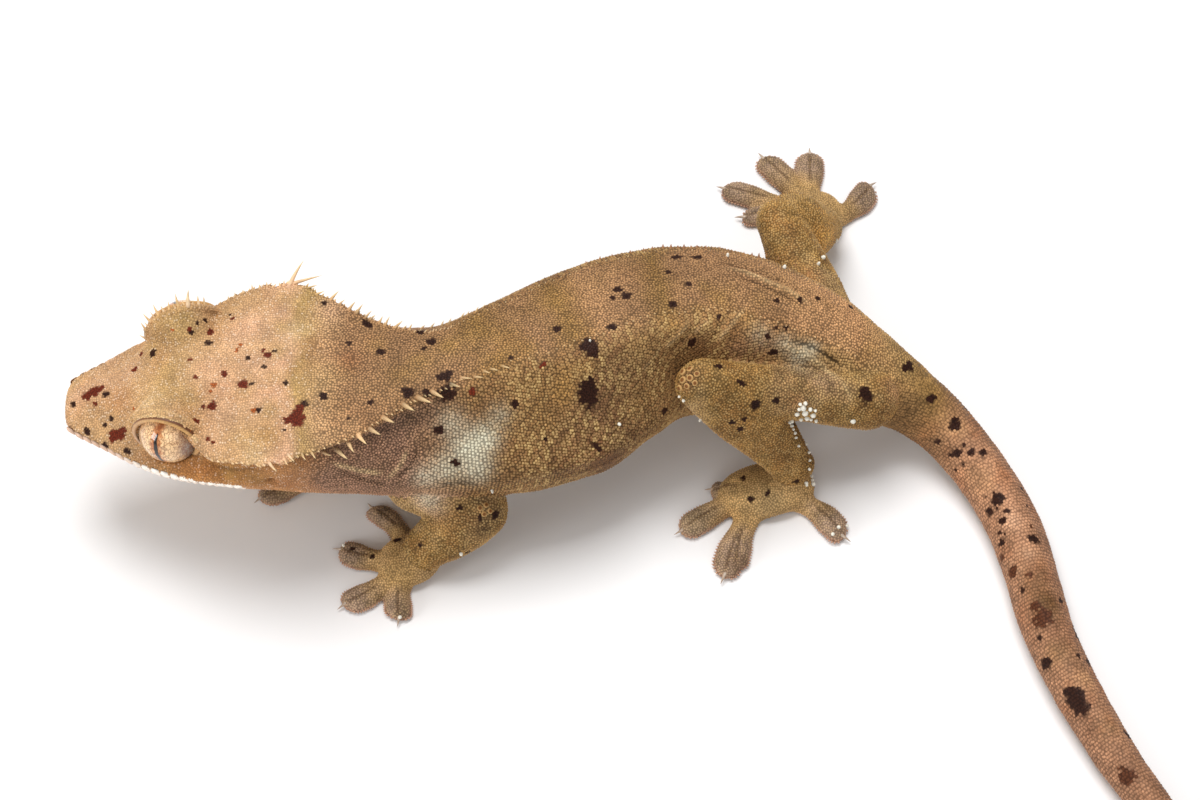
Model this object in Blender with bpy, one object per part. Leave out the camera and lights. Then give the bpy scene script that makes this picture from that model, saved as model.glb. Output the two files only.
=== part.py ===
"""Crested gecko, life size, standing with its head raised and its tail laid along the floor.

Sizes are millimetres in the tables below and metres in the scene. The animal faces -X, its left side is
towards -Y, and the floor is z = 0. Everything is placed from the distance d along the body, measured from
the snout tip, through the frame that body_frame(d) gives and the section that section_at(d) gives.
"""

import math
import random
from typing import NamedTuple

import bmesh
import bpy
import numpy as np
from mathutils import Matrix, Vector

MM = 0.001
GAP = 0.3
LEFT = 1
RIGHT = -1
SIDES = ((LEFT, "left"), (RIGHT, "right"))

# Where one named length of the body ends and the next begins, along d.
HEAD_END = 31.6
NECK_END = 47.5
TORSO_END = 112.0
TAIL_BASE_END = 146.0
TAIL_MID_END = 183.0
TAIL_END = 219.5

# Numbers of segments between the control points of a half section, from the back to the belly.
BODY_STEPS = (2, 2, 1, 2, 1, 1, 1, 1, 2, 2)
TAIL_STEPS = (1, 1, 1, 1, 0, 1, 0, 1, 1, 1)

EYE_D = {LEFT: 15.2, RIGHT: 16.3}
EYE_SIDE = {LEFT: 6.4, RIGHT: 8.1}
EYE_HEIGHT = {LEFT: 4.9, RIGHT: 5.3}
EYE_RADIUS = 4.25
EYE_FORWARD = math.radians(14)
EYE_UP = math.radians(21)
LID_OUT = 1.7
LID_HOOD = 0.25
LID_RADIUS = 4.2
LID_THICK = 0.8
LID_LONG = 1.04
LID_TALL = 0.96
BROW_THICK = 0.9
LASHES = 7
LASH_FROM = math.radians(-62)
LASH_TO = math.radians(58)
LASH_LENGTH = 1.5
LASH_SWELL = 0.9
LASH_LEAN = 0.3

NOSTRIL_D = 1.9
NOSTRIL_RADIUS = 0.6
NOSTRIL_OUT = 0.86
NOSTRIL_UP = 0.9
EAR_D = 28.4
EAR_HEIGHT = 1.6
EAR_SHAPE = (1.1, 0.8, 1.7)

SPINE_SIDES = 5
SPINE_ROOT = 0.9
SPINE_THICK = 0.32
SPINE_SWELL = 0.12
SPINE_POINT = 0.06
SPINE_VARY = 0.15
SPINE_TURN = 0.12

CLAW_LENGTH = 1.7
CLAW_RADIUS = 0.42
CLAW_POINT = 0.08
CLAW_BACK = 0.7
CLAW_HEIGHT = 0.75
CLAW_DROP = 0.18

# The length of body, along d, whose skin the legs are cut to.
LEGS_MEET_FROM = HEAD_END - 6
LEGS_MEET_TO = TORSO_END + 20

# Facets round and along each rounded form.
EYE_FACETS = (18, 12)
SOCKET_FACETS = (20, 12)
BROW_FACETS = (18, 11)
LID_FACETS = (20, 7)
NOSTRIL_FACETS = (8, 6)
EAR_FACETS = (12, 8)
PALM_FACETS = (14, 9)
LIMB_SIDES = 12
CLAW_SIDES = 6


class PathPoint(NamedTuple):
    """A point on the body's centre line. A positive roll leans the back towards the left side."""

    x: float
    y: float
    z: float
    roll: float


PATH = (
    PathPoint(-70.9, -2.8, 17.4, 3),
    PathPoint(-56.0, -2.9, 18.3, 3),
    PathPoint(-41.1, -3.2, 19.2, 3),
    PathPoint(-33.2, -3.3, 19.0, 1),
    PathPoint(-26.6, -2.8, 18.3, -3),
    PathPoint(-19.9, -1.9, 17.5, -7),
    PathPoint(-12.0, 0.7, 16.6, -11),
    PathPoint(-5.4, 3.4, 15.9, -13),
    PathPoint(1.0, 6.2, 15.5, -14),
    PathPoint(6.8, 8.6, 15.2, -14),
    PathPoint(13.6, 10.2, 14.7, -13),
    PathPoint(20.3, 10.4, 14.0, -11),
    PathPoint(27.2, 9.5, 12.8, -8),
    PathPoint(34.0, 8.0, 10.9, -5),
    PathPoint(40.5, 5.9, 8.4, -3),
    PathPoint(46.0, 2.8, 5.8, 0),
    PathPoint(51.0, -2.8, 3.9, 0),
    PathPoint(54.8, -9.6, 3.22, 0),
    PathPoint(57.4, -18.2, 3.07, 0),
    PathPoint(59.2, -27.2, 2.93, 0),
    PathPoint(63.0, -38.0, 2.76, 0),
    PathPoint(67.3, -46.9, 2.54, 0),
    PathPoint(71.5, -54.0, 2.31, 0),
    PathPoint(76.0, -61.0, 2.0, 0),
    PathPoint(81.8, -68.0, 1.59, 0),
    PathPoint(89.0, -73.6, 1.1, 0),
    PathPoint(98.0, -77.2, 0.4, 0),
)


class Section(NamedTuple):
    """The body's cross section at d. Sides are half widths, heights are from the centre line.

    crest is the ridge along each side of the back, crest_drop how far it lies below the back's middle, and
    overhang how far the flank steps in under it. mouth is the height of the mouth line, which is cut in by
    groove and has a lip on each side. hollow is how far the flank sinks in halfway up, round the eyes.
    """

    d: float
    width: float
    flank: float
    top: float
    depth: float
    crest: float
    crest_drop: float
    overhang: float
    mouth: float
    groove: float
    hollow: float


SECTIONS = (
    Section(0.0, 2.2, 0.5, 1.4, 1.1, 0.9, 0.2, -0.5, 0.0, 0.05, 0.0),
    Section(0.5, 3.3, 0.7, 2.2, 1.7, 1.6, 0.4, -0.7, 0.0, 0.3, 0.0),
    Section(1.5, 4.2, 0.9, 2.8, 2.3, 2.2, 0.6, -0.8, 0.0, 0.5, 0.0),
    Section(3.0, 5.1, 1.1, 3.4, 2.8, 2.6, 0.9, -0.9, 0.0, 0.5, 0.0),
    Section(6.0, 6.8, 1.3, 4.1, 3.5, 3.5, 1.2, -1.0, 0.0, 0.5, 0.0),
    Section(9.0, 8.6, 1.4, 5.3, 4.2, 4.9, 1.1, -0.8, 0.0, 0.5, 0.6),
    Section(13.0, 10.4, 1.4, 7.9, 5.0, 7.6, 0.5, 0.1, 0.0, 0.5, 1.3),
    Section(17.5, 11.6, 1.6, 8.9, 5.9, 8.8, 0.7, 0.2, 0.0, 0.5, 2.2),
    Section(21.0, 12.1, 1.7, 8.9, 6.4, 11.8, 2.1, 0.7, -0.4, 0.5, 2.2),
    Section(24.0, 12.4, 1.7, 9.0, 7.0, 13.1, 1.4, 1.6, -1.0, 0.2, 1.0),
    Section(28.0, 12.5, 1.6, 9.2, 7.7, 13.9, 1.0, 2.4, -1.6, 0.0, 0.3),
    Section(30.5, 12.6, 1.4, 9.3, 8.0, 13.7, 0.9, 2.4, -2.0, 0.0, 0.0),
    Section(33.5, 12.5, 1.0, 9.4, 8.5, 12.5, 0.9, 1.8, -2.4, 0.0, 0.0),
    Section(37.0, 12.3, 0.6, 9.5, 9.0, 10.6, 1.2, 0.6, -2.8, 0.0, 0.0),
    Section(41.0, 12.2, 0.2, 9.7, 9.5, 8.0, 1.3, -0.3, -3.2, 0.0, 0.0),
    Section(46.0, 12.4, -0.2, 10.0, 10.2, 5.7, 1.2, -1.0, -3.6, 0.0, 0.0),
    Section(52.0, 13.1, -0.6, 10.6, 11.0, 4.9, 0.9, -1.5, -3.9, 0.0, 0.0),
    Section(59.0, 14.1, -1.0, 11.3, 11.7, 5.4, 0.7, -1.9, -4.2, 0.0, 0.0),
    Section(67.0, 14.4, -1.3, 11.9, 11.6, 6.2, 0.8, -2.1, -4.2, 0.0, 0.0),
    Section(75.0, 12.4, -1.3, 12.2, 9.5, 6.5, 1.0, -2.1, -3.7, 0.0, 0.0),
    Section(83.0, 10.9, -0.9, 12.1, 8.0, 6.4, 1.2, -1.9, -3.0, 0.0, 0.0),
    Section(91.0, 11.2, -0.6, 11.6, 8.6, 5.9, 1.4, -1.8, -2.8, 0.0, 0.0),
    Section(98.0, 10.7, -0.5, 10.5, 8.7, 5.1, 1.5, -1.5, -2.8, 0.0, 0.0),
    Section(105.0, 8.8, -0.4, 8.8, 7.8, 4.1, 1.3, -1.2, -2.4, 0.0, 0.0),
    Section(111.0, 6.5, -0.2, 6.6, 6.2, 3.1, 1.0, -0.9, -1.8, 0.0, 0.0),
    Section(117.0, 5.0, -0.1, 5.0, 4.8, 2.4, 0.7, -0.7, -1.4, 0.0, 0.0),
    Section(125.0, 4.2, 0.0, 4.0, 3.9, 2.1, 0.6, -0.6, -1.1, 0.0, 0.0),
    Section(145.0, 3.8, 0.0, 3.5, 3.4, 1.9, 0.5, -0.5, -1.0, 0.0, 0.0),
    Section(170.0, 3.3, 0.0, 3.0, 3.0, 1.6, 0.4, -0.4, -0.8, 0.0, 0.0),
    Section(190.0, 2.6, 0.0, 2.4, 2.4, 1.3, 0.4, -0.3, -0.6, 0.0, 0.0),
    Section(205.0, 1.9, 0.0, 1.7, 1.7, 0.9, 0.3, -0.2, -0.4, 0.0, 0.0),
    Section(210.0, 1.8, 0.0, 1.4, 1.4, 0.9, 0.2, -0.2, -0.4, 0.0, 0.0),
    Section(214.0, 2.1, 0.0, 1.2, 1.2, 1.0, 0.2, -0.2, -0.3, 0.0, 0.0),
    Section(217.5, 1.8, 0.0, 1.0, 1.0, 0.9, 0.2, -0.1, -0.3, 0.0, 0.0),
    Section(219.5, 0.8, 0.0, 0.6, 0.6, 0.4, 0.1, -0.1, -0.1, 0.0, 0.0),
)
CREST_STEP = 1.3
LIP = 0.85
BELLY_POWER = 2.2


class SpineRow(NamedTuple):
    """Spines along the crest from d0 to d1, first and last as long as given, with a swell between."""

    d0: float
    d1: float
    count: int
    first: float
    swell: float
    last: float
    lift: float
    back: float


HEAD_SPINES = (
    SpineRow(21.0, 27.2, 6, 0.8, 0.1, 1.0, 0.3, 0.25),
    SpineRow(28.6, 30.2, 2, 2.3, 0.0, 2.1, 0.35, 0.35),
)
NECK_SPINES = (SpineRow(33.0, 46.0, 9, 1.1, 0.6, 1.5, 0.25, 0.6),)
TORSO_SPINES = (
    SpineRow(49.2, 64.0, 9, 1.5, 0.0, 0.9, 0.4, 0.75),
    SpineRow(66.0, 103.0, 15, 0.7, 0.1, 0.6, 0.6, 0.5),
)


class Segment(NamedTuple):
    """A length of a limb, between two joints, with its half widths at the start, the muscle and the end.

    flat is its thickness over its width, and bow how far its middle stands towards the inside of the fold.
    """

    start: tuple
    end: tuple
    root: float
    muscle: float
    tip: float
    flat: float
    bow: float


class Toe(NamedTuple):
    """A toe from its palm to the tip of its pad, on the floor."""

    x: float
    y: float
    bend: float
    pad: float


class Leg(NamedTuple):
    upper: Segment
    lower: Segment
    palm: tuple
    palm_size: tuple
    palm_turn: float
    toes: tuple


LEGS = {
    "front_left": Leg(
        Segment((-24.0, -10.2, 11.8), (-16.3, -13.5, 9.0), 4.8, 4.4, 3.9, 0.9, 0.0),
        Segment((-16.3, -13.5, 9.0), (-23.3, -16.4, 3.9), 4.1, 4.1, 3.0, 0.9, 0.0),
        (-25.6, -16.9),
        (4.4, 3.8, 2.0),
        25,
        (
            Toe(-31.2, -8.2, -0.12, 1.7),
            Toe(-35.3, -14.8, 0.06, 1.9),
            Toe(-34.4, -23.4, 0.06, 2.0),
            Toe(-26.9, -25.6, -0.08, 1.9),
            Toe(-19.8, -14.0, -0.05, 1.5),
        ),
    ),
    "front_right": Leg(
        Segment((-20.5, 5.5, 12.5), (-24.3, 10.2, 8.2), 4.8, 4.4, 3.9, 0.9, 0.0),
        Segment((-24.3, 10.2, 8.2), (-35.2, 2.4, 3.9), 4.1, 4.1, 3.0, 0.9, 0.0),
        (-38.0, -0.9),
        (4.4, 3.8, 2.0),
        40,
        (
            Toe(-46.4, -6.9, 0.08, 1.7),
            Toe(-48.4, -1.6, 0.04, 1.9),
            Toe(-47.9, 5.0, -0.04, 2.0),
            Toe(-42.4, 8.6, -0.05, 1.9),
            Toe(-34.8, 8.0, 0.05, 1.5),
        ),
    ),
    "hind_left": Leg(
        Segment((36.0, 2.0, 12.2), (13.4, -1.9, 22.2), 4.4, 3.7, 3.4, 0.9, 0.3),
        Segment((13.4, -1.9, 22.2), (26.2, -4.1, 4.9), 3.5, 4.6, 2.9, 0.8, 1.0),
        (22.8, -6.0),
        (6.6, 4.0, 2.2),
        8,
        (
            Toe(15.2, -5.4, 0.08, 1.6),
            Toe(10.9, -12.0, -0.05, 2.0),
            Toe(16.6, -19.2, -0.06, 2.1),
            Toe(18.2, -17.8, -0.08, 1.9),
            Toe(33.2, -13.0, 0.12, 2.1),
        ),
    ),
    "hind_right": Leg(
        Segment((30.8, 12.5, 12.0), (25.0, 29.4, 14.0), 5.2, 4.8, 3.5, 0.9, 0.5),
        Segment((25.0, 29.4, 14.0), (31.4, 35.4, 4.9), 3.6, 5.1, 3.1, 0.85, 0.6),
        (30.6, 38.6),
        (5.0, 4.0, 2.2),
        70,
        (
            Toe(20.2, 39.9, -0.08, 1.6),
            Toe(17.6, 45.0, -0.05, 2.0),
            Toe(23.4, 50.6, -0.05, 2.1),
            Toe(30.4, 51.4, 0.02, 2.1),
            Toe(39.2, 45.6, -0.12, 2.1),
        ),
    ),
}


class Finish(NamedTuple):
    colour: tuple
    roughness: float


SKIN_HEAD = Finish((0.50, 0.33, 0.20), 0.6)
SKIN_BODY = Finish((0.36, 0.25, 0.14), 0.6)
SKIN_LEG = Finish((0.38, 0.28, 0.13), 0.6)
SKIN_TAIL = Finish((0.42, 0.27, 0.18), 0.6)
EYE_FINISH = Finish((0.55, 0.38, 0.27), 0.12)


def smooth(knots, values, at):
    """Cubic interpolation through the knots that doesn't overshoot them."""
    knots = np.asarray(knots, float)
    values = np.asarray(values, float)
    spans = np.diff(knots)
    slopes = np.diff(values, axis=0) / spans[:, None]
    inner = slopes[:-1] * spans[1:, None] + slopes[1:] * spans[:-1, None]
    inner /= (spans[:-1] + spans[1:])[:, None]
    limit = 3 * np.minimum(np.abs(slopes[:-1]), np.abs(slopes[1:]))
    turning = slopes[:-1] * slopes[1:] <= 0
    inner = np.where(turning, 0.0, np.clip(inner, -limit, limit))
    tangents = np.vstack([slopes[:1], inner, slopes[-1:]])
    return hermite(knots, values, tangents, at)


def hermite(knots, values, tangents, at):
    at = min(max(at, knots[0]), knots[-1])
    i = min(int(np.searchsorted(knots, at, side="right")) - 1, len(knots) - 2)
    span = knots[i + 1] - knots[i]
    t = (at - knots[i]) / span
    return (
        (2 * t**3 - 3 * t**2 + 1) * values[i]
        + (t**3 - 2 * t**2 + t) * span * tangents[i]
        + (3 * t**2 - 2 * t**3) * values[i + 1]
        + (t**3 - t**2) * span * tangents[i + 1]
    )


def path_knots():
    points = np.array([(p.x, p.y, p.z) for p in PATH])
    lengths = np.linalg.norm(np.diff(points, axis=0), axis=1)
    return np.concatenate([[0.0], np.cumsum(lengths)])


KNOTS = path_knots()
PATH_VALUES = np.array(PATH, float)
PATH_TANGENTS = np.gradient(PATH_VALUES, KNOTS, axis=0)
SECTION_D = np.array([s.d for s in SECTIONS])
SECTION_VALUES = np.array(SECTIONS, float)


def body_frame(d):
    """(centre, tangent towards the tail, the animal's left, up) at d, with its roll."""
    here = hermite(KNOTS, PATH_VALUES, PATH_TANGENTS, d)
    step = 0.05
    ahead = hermite(KNOTS, PATH_VALUES, PATH_TANGENTS, d + step)
    behind = hermite(KNOTS, PATH_VALUES, PATH_TANGENTS, d - step)
    tangent = Vector(ahead[:3] - behind[:3]).normalized()
    side = tangent.cross(Vector((0, 0, 1))).normalized()
    up = side.cross(tangent)
    turn = Matrix.Rotation(math.radians(here[3]), 3, tangent)
    return Vector(here[:3]), tangent, turn @ side, turn @ up


def section_at(d):
    return Section(*smooth(SECTION_D, SECTION_VALUES, d))


def belly_side(s, b):
    """Half width at height b, below the widest part of the flank."""
    drop = min(max((s.flank - b) / (s.flank + s.depth), 0.0), 1.0)
    return s.width * (1 - drop**BELLY_POWER) ** (1 / BELLY_POWER)


def profile_controls(s):
    """Control points of half a section, from the back's middle to the belly's. The crest is the third."""
    crest_b = s.top - s.crest_drop
    low = s.flank + s.depth
    lip = LIP * min(1.0, s.depth / 4)
    step = min(CREST_STEP, 0.4 * (crest_b - s.flank))
    return [
        (0.0, s.top),
        (0.6 * s.crest, s.top - 0.4 * s.crest_drop),
        (s.crest, crest_b),
        (s.crest - s.overhang, crest_b - step),
        (0.5 * (s.width + s.crest) - 0.3 * s.overhang - s.hollow, 0.5 * (crest_b + s.flank)),
        (s.width, s.flank),
        (belly_side(s, s.mouth + lip), s.mouth + lip),
        (belly_side(s, s.mouth) - s.groove, s.mouth),
        (belly_side(s, s.mouth - lip) - 0.2 * s.groove, s.mouth - lip),
        (0.72 * s.width, s.flank - low * (1 - 0.72**BELLY_POWER) ** (1 / BELLY_POWER)),
        (0.0, -s.depth),
    ]


def curve_through(points, steps, closed_tangent):
    """Catmull-Rom samples through the points, with steps[i] segments from point i to i + 1.

    A span of 0 steps is skipped, so its end point is left out. closed_tangent says which ends lie on the
    body's middle plane, where the curve crosses it square.
    """
    first, last = closed_tangent
    points = [Vector(p) for p in points]
    before = Vector((-points[1].x, points[1].y)) if first else 2 * points[0] - points[1]
    after = Vector((-points[-2].x, points[-2].y)) if last else 2 * points[-1] - points[-2]
    run = [before, *points, after]
    found = [points[0]]
    for i, count in enumerate(steps):
        p0, p1, p2, p3 = run[i : i + 4]
        for k in range(1, count + 1):
            t = k / count
            found.append(
                0.5
                * (
                    2 * p1
                    + (p2 - p0) * t
                    + (2 * p0 - 5 * p1 + 4 * p2 - p3) * t**2
                    + (3 * p1 - p0 - 3 * p2 + p3) * t**3
                )
            )
    return found


def half_section(s, steps):
    """Points of half a section from back to belly, sharp at the crest."""
    controls = profile_controls(s)
    back = curve_through(controls[:3], steps[:2], (True, False))
    flank = curve_through(controls[2:], steps[2:], (False, True))
    return back + flank[1:]


def ring(d, steps, grow=0.0):
    """The section at d as points in space, round the left side and back up the right."""
    centre, _, side, up = body_frame(d)
    half = half_section(section_at(d), steps)
    if grow:
        half = grown(half, grow)
    left = [centre + side * p.x + up * p.y for p in half]
    right = [centre - side * p.x + up * p.y for p in reversed(half[1:-1])]
    return left + right


def grown(half, by):
    """The half section moved out by a distance, along its own normals."""
    moved = []
    for i, p in enumerate(half):
        before = half[max(i - 1, 0)]
        after = half[min(i + 1, len(half) - 1)]
        along = after - before
        out = Vector((-along.y, along.x)).normalized()
        moved.append(Vector((max(p.x + by * out.x, 0.0), p.y + by * out.y)))
    return moved


def object_from_rings(name, rings):
    """A closed loft through rings of equal length, capped flat at both ends."""
    bm = bmesh.new()
    made = [[bm.verts.new(p * MM) for p in points] for points in rings]
    count = len(rings[0])
    for near, far in zip(made, made[1:]):
        for i in range(count):
            j = (i + 1) % count
            bm.faces.new((near[i], near[j], far[j], far[i]))
    bm.faces.new(reversed(made[0]))
    bm.faces.new(made[-1])
    bmesh.ops.recalc_face_normals(bm, faces=bm.faces)
    return object_from_bmesh(name, bm)


def object_from_bmesh(name, bm):
    mesh = bpy.data.meshes.new(name)
    bm.to_mesh(mesh)
    bm.free()
    obj = bpy.data.objects.new(name, mesh)
    bpy.context.scene.collection.objects.link(obj)
    return obj


def body_loft(name, d0, d1, spacing, steps, grow=0.0):
    """A length of the body from d0 to d1. A row of close rings keeps the snout's blunt end round."""
    count = max(2, round((d1 - d0) / spacing))
    places = [d0 + (d1 - d0) * i / count for i in range(count + 1)]
    if d0 == 0.0:
        places = [0.0, 0.5, 1.5] + [d for d in places if d > 2.2]
    return object_from_rings(name, [ring(d, steps, grow) for d in places])


def apply_boolean(base, pieces, operation):
    """Joins the pieces to base, or cuts them from it, and removes them."""
    group = bpy.data.collections.new("operands")
    bpy.context.scene.collection.children.link(group)
    for piece in pieces:
        for owner in list(piece.users_collection):
            owner.objects.unlink(piece)
        group.objects.link(piece)
    change = base.modifiers.new(operation.lower(), "BOOLEAN")
    change.operation = operation
    change.solver = "EXACT"
    change.operand_type = "COLLECTION"
    change.collection = group
    graph = bpy.context.evaluated_depsgraph_get()
    result = bpy.data.meshes.new_from_object(base.evaluated_get(graph))
    base.modifiers.clear()
    base.data = result
    for piece in pieces:
        bpy.data.objects.remove(piece)
    bpy.data.collections.remove(group)
    return base


def keep_largest(obj):
    """Leaves only the closed surface that holds most."""
    bm = bmesh.new()
    bm.from_mesh(obj.data)
    left = set(bm.faces)
    shells = []
    while left:
        front = [left.pop()]
        shell = set(front)
        while front:
            for edge in front.pop().edges:
                for face in edge.link_faces:
                    if face in left:
                        left.discard(face)
                        shell.add(face)
                        front.append(face)
        shells.append(shell)
    biggest = max(shells, key=lambda shell: abs(shell_volume(shell)))
    spare = [f for f in bm.faces if f not in biggest]
    bmesh.ops.delete(bm, geom=spare, context="FACES")
    bm.to_mesh(obj.data)
    bm.free()
    return obj


def shell_volume(shell):
    total = 0.0
    for face in shell:
        first = face.verts[0].co
        for near, far in zip(face.verts[1:], face.verts[2:]):
            total += first.dot(near.co.cross(far.co))
    return total / 6


def crest_point(d, side_sign):
    """(point on the crest at d, out of the body there, tangent, up)."""
    centre, tangent, side, up = body_frame(d)
    s = section_at(d)
    point = centre + side * (s.crest * side_sign) + up * (s.top - s.crest_drop)
    return point, side * side_sign, tangent, up


def spine(root, direction, length):
    """A pointed spine whose root is sunk in what it grows from."""
    bm = bmesh.new()
    whole = length + SPINE_ROOT
    radius = SPINE_THICK + SPINE_SWELL * length
    bmesh.ops.create_cone(
        bm,
        cap_ends=True,
        segments=SPINE_SIDES,
        radius1=radius * MM,
        radius2=SPINE_POINT * radius * MM,
        depth=whole * MM,
        matrix=Matrix.Translation((0, 0, (0.5 * whole - SPINE_ROOT) * MM)),
    )
    turn = direction.to_track_quat("Z", "Y").to_matrix().to_4x4()
    bmesh.ops.transform(bm, matrix=Matrix.Translation(root * MM) @ turn, verts=bm.verts)
    return object_from_bmesh("spine", bm)


def spine_row(row, draw):
    made = []
    for side_sign, _ in SIDES:
        for i in range(row.count):
            share = i / (row.count - 1)
            d = row.d0 + (row.d1 - row.d0) * share
            length = row.first + (row.last - row.first) * share + row.swell * math.sin(math.pi * share)
            length *= draw.uniform(1 - SPINE_VARY, 1 + SPINE_VARY)
            root, out, tangent, up = crest_point(d, side_sign)
            back = row.back + draw.uniform(-SPINE_TURN, SPINE_TURN)
            direction = out + up * row.lift + tangent * back
            made.append(spine(root, direction.normalized(), length))
    return made


def eye_frame(side_sign):
    """(centre, outward axis) of an eye."""
    centre, tangent, side, up = body_frame(EYE_D[side_sign])
    point = centre + side * (EYE_SIDE[side_sign] * side_sign) + up * EYE_HEIGHT[side_sign]
    flat = side * side_sign * math.cos(EYE_FORWARD) - tangent * math.sin(EYE_FORWARD)
    return point, (flat * math.cos(EYE_UP) + up * math.sin(EYE_UP)).normalized()


def ball(name, centre, radius, facets, stretch=(1, 1, 1), axes=None):
    bm = bmesh.new()
    bmesh.ops.create_uvsphere(bm, u_segments=facets[0], v_segments=facets[1], radius=radius * MM)
    turn = axes.to_4x4() if axes else Matrix.Identity(4)
    place = Matrix.Translation(Vector(centre) * MM) @ turn @ Matrix.Diagonal((*stretch, 1))
    bmesh.ops.transform(bm, matrix=place, verts=bm.verts)
    return object_from_bmesh(name, bm)


def lid_axes(side_sign):
    """(centre of the eye, matrix whose columns run rearwards, upwards and out along the eye's axis)."""
    point, axis = eye_frame(side_sign)
    _, tangent, _, _ = body_frame(EYE_D[side_sign])
    rear = (tangent - axis * axis.dot(tangent)).normalized()
    above = axis.cross(rear) * side_sign
    return point, Matrix((rear, above, axis)).transposed()


def lid_plane(height):
    """How far out from the eye's centre the lid lies, at a height on the eye. It hoods the top."""
    return LID_OUT + LID_HOOD * height


def eyelid(side_sign):
    """The thick rim of skin round an eye, a little longer than tall."""
    point, axes = lid_axes(side_sign)
    bpy.ops.mesh.primitive_torus_add(
        major_segments=LID_FACETS[0],
        minor_segments=LID_FACETS[1],
        major_radius=LID_RADIUS * MM,
        minor_radius=LID_THICK * MM,
    )
    lid = bpy.context.object
    lid.data.transform(Matrix.Diagonal((LID_LONG, LID_TALL, 1, 1)))
    for vertex in lid.data.vertices:
        vertex.co.z += lid_plane(vertex.co.y / MM) * MM
    lid.data.transform(Matrix.Translation(point * MM) @ axes.to_4x4())
    return lid


def brow(side_sign):
    """The bulge of skin over an eyeball, cut off flat where the lid's opening is."""
    point, axes = lid_axes(side_sign)
    bulge = ball("brow", (0, 0, 0), EYE_RADIUS + BROW_THICK, BROW_FACETS)
    for vertex in bulge.data.vertices:
        vertex.co.z = min(vertex.co.z, lid_plane(vertex.co.y / MM) * MM)
    bulge.data.transform(Matrix.Translation(point * MM) @ axes.to_4x4())
    return bulge


def lashes(side_sign, draw):
    """The row of spines that stands on an upper lid."""
    point, axes = lid_axes(side_sign)
    made = []
    for i in range(LASHES):
        share = i / (LASHES - 1)
        angle = LASH_FROM + (LASH_TO - LASH_FROM) * share
        length = LASH_LENGTH + LASH_SWELL * math.sin(math.pi * share)
        length *= draw.uniform(1 - SPINE_VARY, 1 + SPINE_VARY)
        out = Vector((math.sin(angle) * LID_LONG, math.cos(angle) * LID_TALL, 0.0))
        foot = out * (LID_RADIUS + 0.6 * LID_THICK)
        root = point + axes @ (foot + Vector((0, 0, lid_plane(foot.y))))
        direction = (axes @ (out + Vector((0, 0, LASH_LEAN)))).normalized()
        made.append(spine(root, direction, length))
    return made


def nostril(side_sign):
    """A small pit low on the side of the snout."""
    centre, _, side, up = body_frame(NOSTRIL_D)
    s = section_at(NOSTRIL_D)
    place = centre + side * (s.width * NOSTRIL_OUT * side_sign) + up * (s.flank + NOSTRIL_UP)
    return ball("nostril", place, NOSTRIL_RADIUS, NOSTRIL_FACETS)


def ear(side_sign):
    """The slot of an ear, under the crest's corner."""
    centre, tangent, side, up = body_frame(EAR_D)
    s = section_at(EAR_D)
    place = centre + side * (s.width * side_sign) + up * EAR_HEIGHT
    axes = Matrix((side, tangent, up)).transposed()
    return ball("ear", place, 1.0, EAR_FACETS, EAR_SHAPE, axes)


def make_head(draw):
    head = body_loft("head", 0.0, HEAD_END, 1.5, BODY_STEPS)
    growths = []
    for side_sign, _ in SIDES:
        growths += [brow(side_sign), eyelid(side_sign), *lashes(side_sign, draw)]
    for row in HEAD_SPINES:
        growths += spine_row(row, draw)
    apply_boolean(head, growths, "UNION")
    cuts = []
    for side_sign, _ in SIDES:
        point, _ = eye_frame(side_sign)
        cuts += [
            ball("socket", point, EYE_RADIUS + GAP, SOCKET_FACETS),
            nostril(side_sign),
            ear(side_sign),
        ]
    apply_boolean(head, cuts, "DIFFERENCE")
    return keep_largest(head)


def make_body_length(name, d0, d1, spacing, steps, rows, draw):
    node = body_loft(name, d0 + GAP, d1, spacing, steps)
    spines = [s for row in rows for s in spine_row(row, draw)]
    if spines:
        apply_boolean(node, spines, "UNION")
        keep_largest(node)
    if d0 >= TORSO_END:
        apply_boolean(node, [floor_block()], "DIFFERENCE")
    return node


def make_eye(side_sign, side_name):
    point, axis = eye_frame(side_sign)
    turn = axis.to_track_quat("Z", "Y").to_matrix()
    return ball(f"eye_{side_name}", point, EYE_RADIUS, EYE_FACETS, axes=turn)


def limb_segment(name, part, fold, grow=0.0):
    """A rounded, tapered length of limb, broad in the plane of the fold and bowed towards its inside."""
    start, end = Vector(part.start), Vector(part.end)
    along = (end - start).normalized()
    length = (end - start).length
    wide = (fold - along * fold.dot(along)).normalized()
    thin = along.cross(wide)
    knots = (0.0, 0.35 * length, length)
    radii = ((part.root,), (part.muscle,), (part.tip,))
    rings = []
    for lift in (-0.98, -0.75, -0.4):
        r = (part.root + grow) * math.sqrt(1 - lift**2)
        rings.append((lift * (part.root + grow), r))
    for share in (0.0, 0.17, 0.35, 0.55, 0.75, 1.0):
        rings.append((share * length, smooth(knots, radii, share * length)[0] + grow))
    for lift in (0.4, 0.75, 0.98):
        r = (part.tip + grow) * math.sqrt(1 - lift**2)
        rings.append((length + lift * (part.tip + grow), r))
    loops = []
    for place, r in rings:
        bow = wide * (part.bow * math.sin(math.pi * min(max(place / length, 0.0), 1.0)))
        loops.append(
            [
                start
                + bow
                + along * place
                + wide * (r * math.cos(2 * math.pi * k / LIMB_SIDES))
                + thin * (r * part.flat * math.sin(2 * math.pi * k / LIMB_SIDES))
                for k in range(LIMB_SIDES)
            ]
        )
    return object_from_rings(name, loops)


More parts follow.
